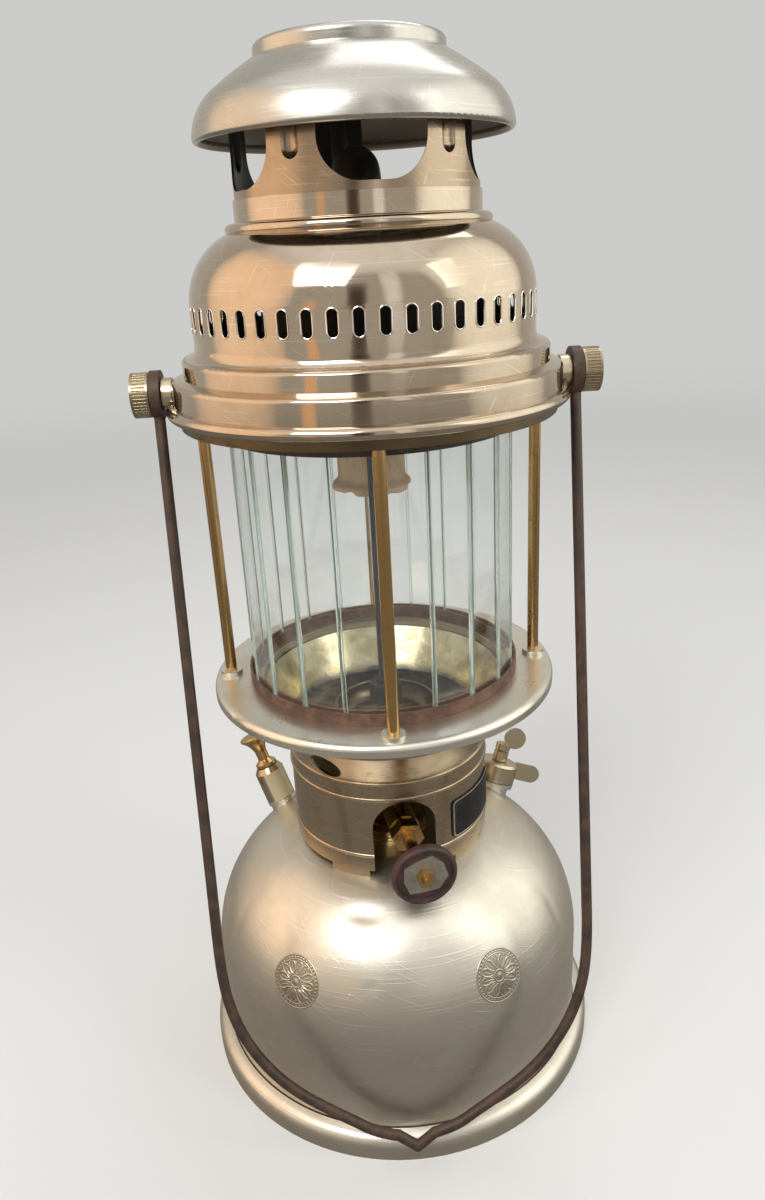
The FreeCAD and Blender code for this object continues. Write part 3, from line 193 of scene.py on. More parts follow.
def two_faced(tree, plain, mirrored):
    """Colour that is plain for the camera, soft light and rays through glass, and another in reflections."""
    ray = tree.nodes.new("ShaderNodeLightPath")
    only = tree.nodes.new("ShaderNodeMath")
    only.operation = "SUBTRACT"
    only.use_clamp = True
    shade = tree.nodes.new("ShaderNodeMix")
    shade.data_type = "RGBA"
    shade.inputs[6].default_value = plain
    shade.inputs[7].default_value = mirrored
    tree.links.new(ray.outputs["Is Glossy Ray"], only.inputs[0])
    tree.links.new(ray.outputs["Is Transmission Ray"], only.inputs[1])
    tree.links.new(only.outputs[0], shade.inputs[0])
    return shade.outputs[2]


def blended(tree, share, first, second):
    """Gives a material's surface the first shader at share 0 and the second at share 1."""
    blend = tree.nodes.new("ShaderNodeMixShader")
    for socket, source in zip(blend.inputs, (share, first, second)):
        tree.links.new(source, socket)
    tree.links.new(blend.outputs["Shader"], tree.nodes["Material Output"].inputs["Surface"])


def studio_world():
    """Even grey world without a picture."""
    made = bpy.data.worlds.new("studio")
    made.use_nodes = True
    tree = made.node_tree
    tree.links.new(two_faced(tree, WORLD_GREY, WORLD_MIRRORED), tree.nodes["Background"].inputs["Color"])
    return made


def floor_finish():
    """Matt pale floor that fades into the background far from the lantern."""
    made = bpy.data.materials.new("floor")
    made.use_nodes = True
    tree = made.node_tree
    matt = tree.nodes["Principled BSDF"]
    tree.links.new(two_faced(tree, FLOOR_COLOUR, FLOOR_MIRRORED), matt.inputs["Base Color"])
    matt.inputs["Roughness"].default_value = FLOOR_ROUGHNESS
    matt.inputs["Specular IOR Level"].default_value = FLOOR_GLOSS
    place = tree.nodes.new("ShaderNodeTexCoord")
    length = tree.nodes.new("ShaderNodeVectorMath")
    length.operation = "LENGTH"
    fade = tree.nodes.new("ShaderNodeMapRange")
    fade.interpolation_type = "SMOOTHSTEP"
    fade.inputs["From Min"].default_value = FADE_FROM
    fade.inputs["From Max"].default_value = FADE_TO
    clear = tree.nodes.new("ShaderNodeBsdfTransparent")
    tree.links.new(place.outputs["Object"], length.inputs[0])
    tree.links.new(length.outputs["Value"], fade.inputs["Value"])
    blended(tree, fade.outputs["Result"], matt.outputs["BSDF"], clear.outputs["BSDF"])
    return made


def stage_sheet(name, points, finish, faces=((0, 1, 2, 3),)):
    """Flat sheet, by default one quad, that is not part of the lantern."""
    mesh = bpy.data.meshes.new(name)
    mesh.from_pydata(points, [], faces)
    mesh.materials.append(finish)
    made = bpy.data.objects.new(name, mesh)
    bpy.context.scene.collection.objects.link(made)
    return made


def seen_from(azimuth, elevation, distance):
    """Point around the lantern: azimuth in degrees from the front towards +X, elevation above the floor."""
    a = math.radians(azimuth)
    e = math.radians(elevation)
    return AIM + Vector((math.sin(a) * math.cos(e), -math.cos(a) * math.cos(e), math.sin(e))) * distance


def softbox(name, azimuth, elevation, distance, size, watts):
    """Rectangular lamp that faces the lantern."""
    lamp = bpy.data.lights.new(name, "AREA")
    lamp.shape = "RECTANGLE"
    lamp.size, lamp.size_y = size
    lamp.energy = watts
    holder = bpy.data.objects.new(name, lamp)
    holder.location = seen_from(azimuth, elevation, distance)
    holder.rotation_euler = (AIM - holder.location).to_track_quat("-Z", "Y").to_euler()
    bpy.context.scene.collection.objects.link(holder)


def card(name, azimuth, elevation, size, colour, strength):
    """Card with soft edges that only reflections see: its share is (1 - u^4)(1 - v^4) across and up."""
    glow = bpy.data.materials.new(name)
    glow.use_nodes = True
    tree = glow.node_tree
    emission = tree.nodes.new("ShaderNodeEmission")
    emission.inputs["Color"].default_value = (*colour, 1)
    emission.inputs["Strength"].default_value = strength
    share = tree.nodes.new("ShaderNodeAttribute")
    share.attribute_name = "share"
    clear = tree.nodes.new("ShaderNodeBsdfTransparent")
    blended(tree, share.outputs["Fac"], clear.outputs["BSDF"], emission.outputs["Emission"])
    centre = seen_from(azimuth, elevation, CARD_DISTANCE)
    facing = (AIM - centre).normalized()
    across = np.array(facing.cross(Vector((0, 0, 1))).normalized()) * size[0] / 2
    tall = np.cross(across / np.linalg.norm(across), np.array(facing)) * size[1] / 2
    u = np.linspace(-1, 1, CARD_POINTS)[:, None]
    v = np.linspace(-1, 1, CARD_POINTS)[None, :]
    points = np.array(centre) + u[..., None] * across + v[..., None] * tall
    made = stage_sheet(name, points.reshape(-1, 3), glow, cells(CARD_POINTS, CARD_POINTS))
    point_values(made, "share", (1 - u ** 4) * (1 - v ** 4))
    made.visible_camera = False
    made.visible_diffuse = False
    made.visible_shadow = False
    made.visible_transmission = False


bpy.context.scene.world = studio_world()
floor_corners = FLOOR_REACH * np.array([(-1, -1, 0), (1, -1, 0), (1, 1, 0), (-1, 1, 0)])
stage_sheet("floor", floor_corners, floor_finish())
for placed in SOFTBOXES:
    softbox(*placed)
for placed in CARDS:
    card(*placed)
print("studio ready")

# %% [markdown]
# ## Finishes
#
# A finish is a small network of nodes around one Principled shader. Patterns are read from Object
# coordinates, which are metres in the lantern's own frame, so they stay put when a joint moves, and a noise
# scale is a count per metre. The helper class below only saves typing: each call adds one node and hands back
# its output.

# %% Helper for building finishes
class Finish:
    """A Principled material under construction."""

    def __init__(self, name, **sockets):
        self.material = bpy.data.materials.new(name)
        self.material.use_nodes = True
        self.tree = self.material.node_tree
        self.shader = self.tree.nodes["Principled BSDF"]
        for key, value in sockets.items():
            self.set(key.replace("_", " "), value)
        self.place = self.node("ShaderNodeTexCoord", {}, "Object")

    def set(self, socket, value):
        """Sets or links one socket of the shader."""
        self.feed(self.shader.inputs[socket], value)

    def feed(self, socket, value):
        """Links a node's output to a socket, or sets a plain number or colour there."""
        if isinstance(value, bpy.types.NodeSocket):
            self.tree.links.new(value, socket)
        elif isinstance(value, tuple) and len(value) == 3 and socket.type == "RGBA":
            socket.default_value = (*value, 1)
        else:
            socket.default_value = value

    def node(self, kind, inputs, output=0, **settings):
        """Adds a node of a kind, feeds its inputs and hands back one output."""
        made = self.tree.nodes.new(kind)
        for key, value in settings.items():
            setattr(made, key, value)
        for key, value in inputs.items():
            self.feed(made.inputs[key], value)
        return made.outputs[output]

    def stretched(self, vector, x, y, z):
        """Coordinates times a factor each way, which squeezes a pattern where the factor is large."""
        return self.node("ShaderNodeVectorMath", {0: vector, 1: (x, y, z)}, operation="MULTIPLY")

    def noise(self, vector, scale, detail=4.0, roughness=0.55, distortion=0.0):
        """Cloudy noise around 0.5; detail is how many finer layers lie on it, and roughness how strong."""
        return self.node("ShaderNodeTexNoise", {"Vector": vector, "Scale": scale, "Detail": detail,
                                                "Roughness": roughness, "Distortion": distortion})

    def spots(self, vector, scale):
        """Distance to the nearest of many scattered points."""
        return self.node("ShaderNodeTexVoronoi", {"Vector": vector, "Scale": scale})

    def ramp(self, value, start, end, low=0.0, high=1.0):
        """Smooth step from low to high while value goes from start to end."""
        limits = {"Value": value, "From Min": start, "From Max": end, "To Min": low, "To Max": high}
        return self.node("ShaderNodeMapRange", limits, interpolation_type="SMOOTHSTEP")

    def maths(self, operation, a, b=0.0):
        """One sum, product or other operation on two values."""
        return self.node("ShaderNodeMath", {0: a, 1: b}, operation=operation)

    def mix(self, share, first, second):
        """First colour at share 0, second colour at share 1."""
        return self.node("ShaderNodeMix", {0: share, 6: first, 7: second}, 2, data_type="RGBA")

    def bump(self, height, depth, under=None):
        """Normal of a surface that a height from 0 to 1 lifts by a depth in metres, over another normal."""
        inputs = {"Height": height, "Distance": depth}
        if under is not None:
            inputs["Normal"] = under
        return self.node("ShaderNodeBump", inputs)

    def axis(self, letter):
        """One of the three Object coordinates."""
        return self.node("ShaderNodeSeparateXYZ", {0: self.place}, letter)

    def unrolled(self, radius):
        """Flat coordinates of a round body: way around its axis from the front, and height, in metres."""
        turn = self.maths("ARCTAN2", self.axis("X"), self.maths("MULTIPLY", self.axis("Y"), -1.0))
        way = self.maths("MULTIPLY", turn, radius)
        return self.node("ShaderNodeCombineXYZ", {"X": way, "Y": self.axis("Z")})

    def inside(self):
        """1 on faces that look towards the lantern's axis and not upwards, 0 on the others."""
        normal = self.node("ShaderNodeTexCoord", {}, "Normal")
        upright = self.ramp(self.node("ShaderNodeSeparateXYZ", {0: normal}, "Z"), 0.75, 0.55)
        flat = self.stretched(self.place, 1, 1, 0)
        outward = self.node("ShaderNodeVectorMath", {0: flat}, operation="NORMALIZE")
        towards = self.node("ShaderNodeVectorMath", {0: normal, 1: outward}, "Value", operation="DOT_PRODUCT")
        return self.maths("MULTIPLY", upright, self.ramp(towards, 0.02, -0.25))

    def turned(self, vector, degrees):
        """Flat coordinates turned in their own plane."""
        return self.node("ShaderNodeVectorRotate", {"Vector": vector, "Angle": math.radians(degrees)},
                         rotation_type="Z_AXIS")


# %% [markdown]
# ## Nickel plating
#
# The tank, hood and frame are brass sheet with nickel on it. Decades of polishing leave fine pale scratches
# around the body and some across it, a milky satin where rags have rubbed, and warm brown patches where the
# nickel is thin. The same recipe serves all of them: two greys and a brown mixed by slow noise, scratches as
# noise stretched in three directions, and roughness that follows the same patches. Faces that look inwards
# may have a matt lining instead, because the plating ends there.

# %% Nickel finishes
SCRATCH_FINE = 1500.0
SCRATCH_LONG = 30.0
SCRATCH_PALE = (0.92, 0.89, 0.82)
SCRATCH_GLEAM = 0.22
SLANT_DEGREES = 28
CROSS_DEGREES = -64
UNROLLED_R = 0.06
PATCH_SCALE = 26.0
CLOUD_SCALE = 70.0
WAVE_SCALE = 30.0
FRECKLE_SCALE = 260.0
FRECKLE_BROWN = (0.10, 0.075, 0.05)
LINING_METAL = 0.3
LINING_ROUGHNESS = 0.4


def nickel(name, bright, dull, brown, tarnish, smooth, rough, scratch, wave, lining=None):
    """Worn plating: tarnish adds brown, and smooth to rough is the range of its roughness.

    Scratch and wave are depths in metres. The lining is the colour of faces that look inwards, where the
    plating ends.
    """
    look = Finish(name, Metallic=1.0)
    flat = look.unrolled(UNROLLED_R)
    patches = look.noise(look.place, PATCH_SCALE, 5.0, 0.6)
    clouds = look.noise(look.place, CLOUD_SCALE, 6.0, 0.65, 0.4)
    lines = look.noise(look.stretched(flat, SCRATCH_LONG, SCRATCH_FINE, 1), 1.0, 2.0)
    slanted = look.turned(flat, SLANT_DEGREES)
    slant = look.noise(look.stretched(slanted, SCRATCH_LONG * 1.5, SCRATCH_FINE * 0.8, 1), 1.0, 2.0)
    crossed = look.turned(flat, CROSS_DEGREES)
    cross = look.noise(look.stretched(crossed, SCRATCH_LONG * 2, SCRATCH_FINE * 0.5, 1), 1.0, 1.0)
    rubbed = look.maths("ADD", look.maths("MULTIPLY", patches, 0.6), look.maths("MULTIPLY", clouds, 0.4))
    colour = look.mix(look.ramp(rubbed, 0.36, 0.66), bright, dull)
    colour = look.mix(look.ramp(clouds, 0.68 - tarnish, 0.86 - tarnish), colour, brown)
    grooves = look.maths("ADD", look.ramp(lines, 0.55, 0.75), look.ramp(slant, 0.62, 0.74))
    grooves = look.maths("ADD", grooves, look.ramp(cross, 0.68, 0.76))
    colour = look.mix(look.ramp(grooves, 0.0, 1.0, 0.0, SCRATCH_GLEAM), colour, SCRATCH_PALE)
    freckles = look.ramp(look.spots(look.place, FRECKLE_SCALE), 0.09, 0.03, 0.0, 0.35)
    freckles = look.maths("MULTIPLY", freckles, look.ramp(patches, 0.5, 0.62))
    colour = look.mix(freckles, colour, FRECKLE_BROWN)
    worn = look.maths("ADD", rubbed, look.maths("MULTIPLY", lines, 0.25))
    worn = look.ramp(worn, 0.42, 0.82, smooth, rough)
    if lining:
        inner = look.inside()
        colour = look.mix(inner, colour, lining)
        worn = look.maths("MAXIMUM", worn, look.maths("MULTIPLY", inner, LINING_ROUGHNESS))
        look.set("Metallic", look.ramp(inner, 0.0, 1.0, 1.0, LINING_METAL))
    look.set("Base Color", colour)
    look.set("Roughness", worn)
    waves = look.bump(look.noise(look.place, WAVE_SCALE, 1.0), wave)
    look.set("Normal", look.bump(grooves, scratch, waves))
    return look.material


SOOT = (0.035, 0.03, 0.027)
SMOKED = (0.34, 0.30, 0.25)
BARE_BRASS = (0.66, 0.58, 0.38)
TANK_NICKEL = nickel("tank_nickel", (0.72, 0.69, 0.61), (0.63, 0.585, 0.505), (0.49, 0.41, 0.31),
                     tarnish=-0.02, smooth=0.32, rough=0.46, scratch=0.00003, wave=0.00005)
POLISHED_NICKEL = nickel("polished_nickel", (0.57, 0.48, 0.385), (0.49, 0.40, 0.305), (0.33, 0.22, 0.135),
                         tarnish=0.07, smooth=0.04, rough=0.13, scratch=0.000002, wave=0.00014, lining=SOOT)
CAP_NICKEL = nickel("cap_nickel", (0.54, 0.53, 0.50), (0.47, 0.455, 0.42), (0.36, 0.31, 0.25),
                    tarnish=0.04, smooth=0.16, rough=0.36, scratch=0.000004, wave=0.00010, lining=SMOKED)
GALLERY_NICKEL = nickel("gallery_nickel", (0.43, 0.34, 0.25), (0.36, 0.27, 0.185), (0.33, 0.20, 0.11),
                        tarnish=0.10, smooth=0.14, rough=0.32, scratch=0.000004, wave=0.00008, lining=SOOT)
COLLAR_NICKEL = nickel("collar_nickel", (0.52, 0.43, 0.32), (0.42, 0.32, 0.21), (0.30, 0.19, 0.10),
                       tarnish=0.10, smooth=0.17, rough=0.32, scratch=0.000004, wave=0.00010,
                       lining=BARE_BRASS)
PLATE_NICKEL = nickel("plate_nickel", (0.80, 0.78, 0.70), (0.69, 0.66, 0.585), (0.50, 0.42, 0.31),
                      tarnish=0.03, smooth=0.24, rough=0.42, scratch=0.000005, wave=0.00005)
print("nickel finishes ready")

# %% [markdown]
# ## Brass, steel, rust, clay and the rest
#
# Bare brass browns in the air and stays yellow where fingers touch it. The bail is steel wire that has rusted
# and been oiled, so it is nearly black with brown blotches. The nozzle is unglazed, speckled clay. Each
# finish mixes two or three colours by noise at the grain of the real stuff, and lets the same noise move its
# roughness and its surface.

# %% Other finishes
AGE_SCALE = 95.0
AGE_DEPTH = 0.0001
FILED_SCALE = 900.0
FILED_DEPTH = 0.00003
SPECK_SCALE = 420.0
SPECK_BROWN = (0.06, 0.05, 0.035)
STAIN_SCALE = 140.0
STAIN_DEPTH = 0.0002
BOWL_FLOOR = 153.5 * MM
BURNT_DEEP = 2.5 * MM
BURNT_EDGE = 6.5 * MM
STAIN_REACH = 4.0 * MM


def brass(name, yellow, brown, smooth, rough, share):
    """Aged brass: brown grows from slow noise, and fine noise roughens it."""
    look = Finish(name, Metallic=1.0)
    age = look.noise(look.place, AGE_SCALE, 6.0, 0.65)
    grain = look.noise(look.place, FILED_SCALE, 3.0)
    dark = look.ramp(age, 0.62 - share, 0.80 - share)
    colour = look.mix(dark, yellow, brown)
    specks = look.ramp(look.spots(look.place, SPECK_SCALE), 0.12, 0.04, 0.0, 0.5)
    look.set("Base Color", look.mix(look.maths("MULTIPLY", specks, dark), colour, SPECK_BROWN))
    dulled = look.maths("ADD", dark, look.maths("MULTIPLY", grain, 0.4))
    look.set("Roughness", look.ramp(dulled, 0.1, 1.2, smooth, rough))
    look.set("Normal", look.bump(grain, FILED_DEPTH, look.bump(age, AGE_DEPTH)))
    return look.material


def grainy(name, colours, scale, roughness, depth, metallic, fine=1400.0):
    """Matt or dull stuff in three colours: base, blotch and pit, with a grain of a given depth in metres."""
    look = Finish(name, Metallic=metallic)
    blotch = look.noise(look.place, scale, 6.0, 0.65)
    grain = look.noise(look.place, fine, 4.0, 0.6)
    colour = look.mix(look.ramp(blotch, 0.40, 0.62), colours[0], colours[1])
    pits = look.ramp(grain, 0.60, 0.72)
    look.set("Base Color", look.mix(pits, colour, colours[2]))
    look.set("Roughness", look.ramp(blotch, 0.3, 0.7, roughness[0], roughness[1]))
    height = look.maths("SUBTRACT", look.maths("MULTIPLY", blotch, 0.5), pits)
    look.set("Normal", look.bump(height, depth))
    return look.material


def bowl_brass():
    """Bare brass on the bowl's side, and burnt oil on its floor."""
    look = Finish("bowl_brass", Metallic=1.0)
    stain = look.noise(look.place, STAIN_SCALE, 5.0, 0.6)
    level = look.maths("ADD", look.axis("Z"), look.maths("MULTIPLY", stain, STAIN_REACH))
    clean = look.ramp(level, BOWL_FLOOR + BURNT_DEEP, BOWL_FLOOR + BURNT_EDGE)
    side = look.mix(look.ramp(stain, 0.4, 0.65), (0.70, 0.62, 0.40), (0.52, 0.44, 0.26))
    burnt = look.mix(look.ramp(stain, 0.45, 0.6), (0.05, 0.045, 0.04), (0.12, 0.10, 0.08))
    look.set("Base Color", look.mix(clean, burnt, side))
    look.set("Roughness", look.ramp(clean, 0.0, 1.0, 0.30, 0.24))
    look.set("Normal", look.bump(stain, STAIN_DEPTH))
    return look.material


BOWL_BRASS = bowl_brass()
AGED_BRASS = brass("aged_brass", (0.56, 0.38, 0.17), (0.28, 0.165, 0.07), smooth=0.22, rough=0.48, share=0.08)
ROD_BRASS = brass("rod_brass", (0.54, 0.35, 0.15), (0.32, 0.20, 0.085), smooth=0.20, rough=0.40, share=0.06)
# Near-black brass: real soot on the preheat cup, and painted shade on the upper ring, which lies in shadow
SOOT_AND_SHADE_BRASS = brass("soot_and_shade_brass", (0.16, 0.12, 0.07), (0.07, 0.055, 0.04),
                    smooth=0.30, rough=0.55, share=0.10)
PALE_BRASS = brass("pale_brass", (0.62, 0.54, 0.38), (0.40, 0.33, 0.21), smooth=0.24, rough=0.45, share=0.04)
NUT_BRASS = brass("nut_brass", (0.40, 0.33, 0.22), (0.20, 0.145, 0.085), smooth=0.26, rough=0.48, share=0.08)
RUST_STEEL = grainy("rusty_steel", ((0.052, 0.034, 0.026), (0.088, 0.050, 0.033), (0.026, 0.018, 0.014)),
                    scale=170.0, roughness=(0.36, 0.60), depth=0.00010, metallic=0.3)
DARK_STEEL = grainy("dark_steel", ((0.055, 0.050, 0.046), (0.10, 0.078, 0.062), (0.03, 0.026, 0.024)),
                    scale=120.0, roughness=(0.42, 0.70), depth=0.00006, metallic=0.7)
BURNT_STEEL = grainy("burnt_steel", ((0.020, 0.018, 0.016), (0.034, 0.029, 0.025), (0.013, 0.012, 0.011)),
                     scale=120.0, roughness=(0.45, 0.70), depth=0.00006, metallic=0.3)
COPPERED_STEEL = grainy("coppered_steel", ((0.19, 0.105, 0.072), (0.12, 0.072, 0.053), (0.28, 0.165, 0.105)),
                        scale=150.0, roughness=(0.48, 0.74), depth=0.00010, metallic=0.45)
CLAY = grainy("clay", ((0.68, 0.48, 0.29), (0.58, 0.39, 0.22), (0.44, 0.29, 0.17)),
              scale=130.0, roughness=(0.80, 0.95), depth=0.00016, metallic=0.0, fine=900.0)
WHEEL_MOULDING = grainy("wheel_moulding",
                        ((0.042, 0.025, 0.021), (0.085, 0.027, 0.023), (0.030, 0.022, 0.019)),
                        scale=190.0, roughness=(0.38, 0.66), depth=0.00014, metallic=0.0)
DULL_METAL = grainy("dull_metal", ((0.46, 0.44, 0.39), (0.34, 0.32, 0.27), (0.20, 0.17, 0.13)),
                    scale=210.0, roughness=(0.36, 0.60), depth=0.00008, metallic=0.9)
NEEDLE_STEEL = grainy("needle_steel", ((0.50, 0.50, 0.49), (0.42, 0.42, 0.41), (0.34, 0.33, 0.32)),
                      scale=200.0, roughness=(0.25, 0.40), depth=0.00001, metallic=1.0)
SEAL_RUBBER = grainy("seal_rubber", ((0.03, 0.03, 0.03), (0.04, 0.038, 0.036), (0.02, 0.02, 0.02)),
                     scale=200.0, roughness=(0.70, 0.85), depth=0.00005, metallic=0.0)
PUMP_LEATHER = grainy("pump_leather", ((0.24, 0.14, 0.075), (0.18, 0.10, 0.055), (0.10, 0.06, 0.035)),
                      scale=260.0, roughness=(0.55, 0.75), depth=0.00012, metallic=0.0)
print("other finishes ready")

# %% [markdown]
# ## Finishes on the CAD pieces
#
# Most CAD pieces already have the right shape, so they stay and only their material changes. One table says
# which node wears which finish. The few pieces that are made again further down bring their own.

# %% Finishes on the CAD nodes
WEARS = {
    TANK_NICKEL: ("tank_bottom", "foot_ring"),
    POLISHED_NICKEL: ("hood_shell",),
    CAP_NICKEL: ("top_cap",),
    GALLERY_NICKEL: ("chimney_gallery",),
    COLLAR_NICKEL: ("collar", "pump_cap"),
    BOWL_BRASS: ("inner_tray",),
    PLATE_NICKEL: ("gallery_plate", "pump_barrel", "filler_neck", "rod_collars"),
    PALE_BRASS: ("filler_cap", "air_screw", "pivot_bushes"),
    NUT_BRASS: ("bail_nut_left", "bail_nut_right", "pivot_studs"),
    AGED_BRASS: ("valve_body", "tank_neck", "gland_nut", "spindle", "wheel_nut", "pump_knob", "pump_rod",
                 "pump_washers", "pump_check_valve", "pickup_tube", "jet_nipple", "needle_rod"),
    # The upper ring's near-black colour is painted shade; the preheat cup's is soot
    SOOT_AND_SHADE_BRASS: ("preheat_cup", "upper_ring"),
    BURNT_STEEL: ("vaporiser_tube", "vaporiser_union"),
    DARK_STEEL: ("inner_casing", "mixing_tube", "burner_head", "glass_upper_ring"),
    NEEDLE_STEEL: ("cleaning_needle",),
    RUST_STEEL: ("bail",),
    COPPERED_STEEL: ("glass_lower_ring",),
    WHEEL_MOULDING: ("hand_wheel",),
    DULL_METAL: ("wheel_plate",),
    SEAL_RUBBER: ("filler_seal", "gland_packing"),
    PUMP_LEATHER: ("pump_leather",),
}
for finish, wearers in WEARS.items():
    for node in wearers:
        nodes[node].data.materials.clear()
        nodes[node].data.materials.append(finish)
print("finished nodes", sum(len(wearers) for wearers in WEARS.values()))

# %% [markdown]
# ## Glass slats
#
# The lantern's chimney is not one cylinder but a ring of flat strips, each with ground edges that look green
# because the eye looks along the glass. The CAD strips are plain boxes, so each is made again with a small
# bevel: a rounded rectangle carried up the strip. The bevel and edge faces get the greener glass.

# %% Glass slats with ground edges
SLAT_COUNT = 20
SLAT_THICK = 2.0 * MM
SLAT_APOTHEM = 50.6 * MM
SLAT_GAP = 0.4 * MM
SLAT_BEVEL = 0.35 * MM
SLAT_CREASE = 20.0
DUST_SHADE = 0.94
DUST_HAZE = 0.03


def clear_glass(name, tint, roughness, share):
    """Glass with a faint film of dust; share is how much light goes through instead of scattering."""
    look = Finish(name, Transmission_Weight=share, IOR=1.5)
    film = look.noise(look.place, 55.0, 5.0, 0.6)
    dusty = tuple(DUST_SHADE * part for part in tint)
    look.set("Base Color", look.mix(look.ramp(film, 0.45, 0.75), tint, dusty))
    look.set("Roughness", look.ramp(film, 0.45, 0.8, roughness, roughness + DUST_HAZE))
    return look.material


CLEAR_GLASS = clear_glass("clear_glass", (0.975, 0.99, 0.98), roughness=0.0, share=1.0)
EDGE_GLASS = clear_glass("edge_glass", (0.74, 0.88, 0.81), roughness=0.25, share=0.75)


def slat_ring():
    """Bevelled strips: an eight-cornered section at two heights, closed at its ends, set around the axis."""
    low, high = (corner.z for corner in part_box("glass_slats"))
    half_width = (SLAT_APOTHEM - SLAT_THICK / 2) * math.tan(math.pi / SLAT_COUNT) - SLAT_GAP / 2
    half_thick = SLAT_THICK / 2
    b = SLAT_BEVEL
    across = np.array([-half_width + b, half_width - b, half_width, half_width,
                       half_width - b, -half_width + b, -half_width, -half_width])
    depth = np.array([-half_thick, -half_thick, -half_thick + b, half_thick - b,
                      half_thick, half_thick, half_thick - b, -half_thick + b])
    turn = 2 * math.pi * (np.arange(SLAT_COUNT) + 0.5) / SLAT_COUNT
    out = np.stack([np.sin(turn), -np.cos(turn)], -1)
    side = np.stack([np.cos(turn), np.sin(turn)], -1)
    flat = out[:, None, :] * (SLAT_APOTHEM - depth)[None, :, None] + side[:, None, :] * across[None, :, None]
    section = len(across)
    points = np.empty((SLAT_COUNT, 2, section, 3))
    points[..., :2] = flat[:, None]
    points[:, 0, :, 2] = low
    points[:, 1, :, 2] = high
    walls = cells(2, section, wrap_columns=True)[:, ::-1]
    walls = repeated(points.reshape(SLAT_COUNT, -1, 3), walls)
    ends = np.stack([np.arange(section)[::-1], np.arange(section) + section])
    ends = (ends[None] + np.arange(SLAT_COUNT)[:, None, None] * 2 * section).reshape(-1, section)
    faces = walls.tolist() + ends.tolist()
    piece = new_piece("glass_strips", points, faces, CLEAR_GLASS, "base", SLAT_CREASE)
    piece.data.materials.append(EDGE_GLASS)
    # Of the eight walls of a strip, the first and the fifth are its broad sides and stay clear
    edge = np.ones(len(faces), np.int32)
    edge[:len(walls)][np.arange(len(walls)) % section % 4 == 0] = 0
    piece.data.polygons.foreach_set("material_index", edge)
    piece.visible_shadow = False
    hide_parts("glass_slats")


slat_ring()

# %% [markdown]
# ## The tank, with its dents
#
# The CAD tank is a perfect turned shell. The real one has been knocked: a thumb-sized dent under the collar,
# a long crease on the right, and a gentle unevenness that makes reflections swim. A dent is a shape and not a
# paint effect, so the shell is made again as a surface of revolution that is pushed in along its normals.

# %% Tank profile and dents
TANK_R = 79.0 * MM
TANK_DOME = 52.4 * MM
TANK_SHOULDER = 48.8 * MM
TANK_LOW = 1.5 * MM
TANK_WALL = 0.8 * MM
TANK_MOUTH = 3.0 * MM
UNEVEN = 0.05 * MM
RIDGE_SHARE = 0.25
RIDGE_SPREAD = 3
# Azimuth in degrees, height, half width, half height and depth in mm
DENTS = ((-15.4, 92.7, 7.0, 3.6, 0.95), (60.0, 73.0, 2.6, 8.5, 0.55), (-66.0, 71.0, 3.0, 14.0, 0.30),
         (-11.0, 74.0, 2.2, 2.0, 0.22), (10.0, 58.0, 14.0, 9.0, 0.30), (38.0, 88.0, 12.0, 6.0, 0.30),
         (150.0, 60.0, 9.0, 7.0, 0.6), (-150.0, 40.0, 5.0, 8.0, 0.4), (100.0, 30.0, 6.0, 5.0, 0.35))
straight_way = TANK_SHOULDER - TANK_LOW
dome_way = TANK_DOME * math.pi / 2


def tank_profile(way):
    """Radius, height and normal at a way up the side: straight wall, quarter circle, flat top."""
    bend = np.clip((way - straight_way) / TANK_DOME, 0, math.pi / 2)
    flat = np.clip(way - straight_way - dome_way, 0, None)
    radius = TANK_R - TANK_DOME * (1 - np.cos(bend)) - flat
    height = TANK_LOW + np.clip(way, 0, straight_way) + TANK_DOME * np.sin(bend)
    return radius, height, np.cos(bend), np.sin(bend)


def way_at(height):
    """Way up the side at which the tank has a height."""
    if height < TANK_SHOULDER:
        return height - TANK_LOW
    return straight_way + TANK_DOME * math.asin((height - TANK_SHOULDER) / TANK_DOME)


def on_tank(azimuth, way, lift):
    """Points of the tank's surface, lifted along its normal."""
    radius, height, outward, upward_part = tank_profile(way)
    return around_z(azimuth, radius + lift * outward, height + lift * upward_part)


def dented(azimuth, way):
    """Slow waves and soft dents: each dent sinks as exp(-q), with a low ridge of exp(-q / 3) around it."""
    radius = tank_profile(way)[0]
    sunk = UNEVEN * np.sin(3 * azimuth + 90 * way) * np.sin(2 * azimuth - 60 * way + 1.0)
    for degrees, height, wide, tall, depth in DENTS:
        aside = turned_from(azimuth, math.radians(degrees)) * radius
        up = way - way_at(height * MM)
        q = (aside / (wide * MM)) ** 2 + (up / (tall * MM)) ** 2
        sunk = sunk - depth * MM * (np.exp(-q) - RIDGE_SHARE * np.exp(-q / RIDGE_SPREAD))
    return sunk


print("way up the tank's side in mm", round((straight_way + dome_way) / MM, 1))

# %% [markdown]
# ## Holes in the tank
#
# The pump barrel, the filler neck and the valve body pass through the tank's top. The shell is one closed
# loop carried around the axis, and such a surface has no holes, so three round bars are cut out of it. The
# joints of the pump and the filler cap give two of the bars their directions.

# %% Dented tank shell
AROUND = 320
UP_OUTSIDE = 120
UP_INSIDE = 40
FITTING_RADIUS = 58.5 * MM
PUMP_AZIMUTH = math.radians(-123.0)
FILLER_AZIMUTH = math.radians(123.0)
PUMP_BORE = 6.05 * MM
FILLER_BORE = 7.45 * MM
BORE_REACH = 20.0 * MM
VALVE_BORE = 12.0 * MM
VALVE_REACH = 10.0 * MM
VALVE_Y = -8.0 * MM
BAR_SIDES = 64


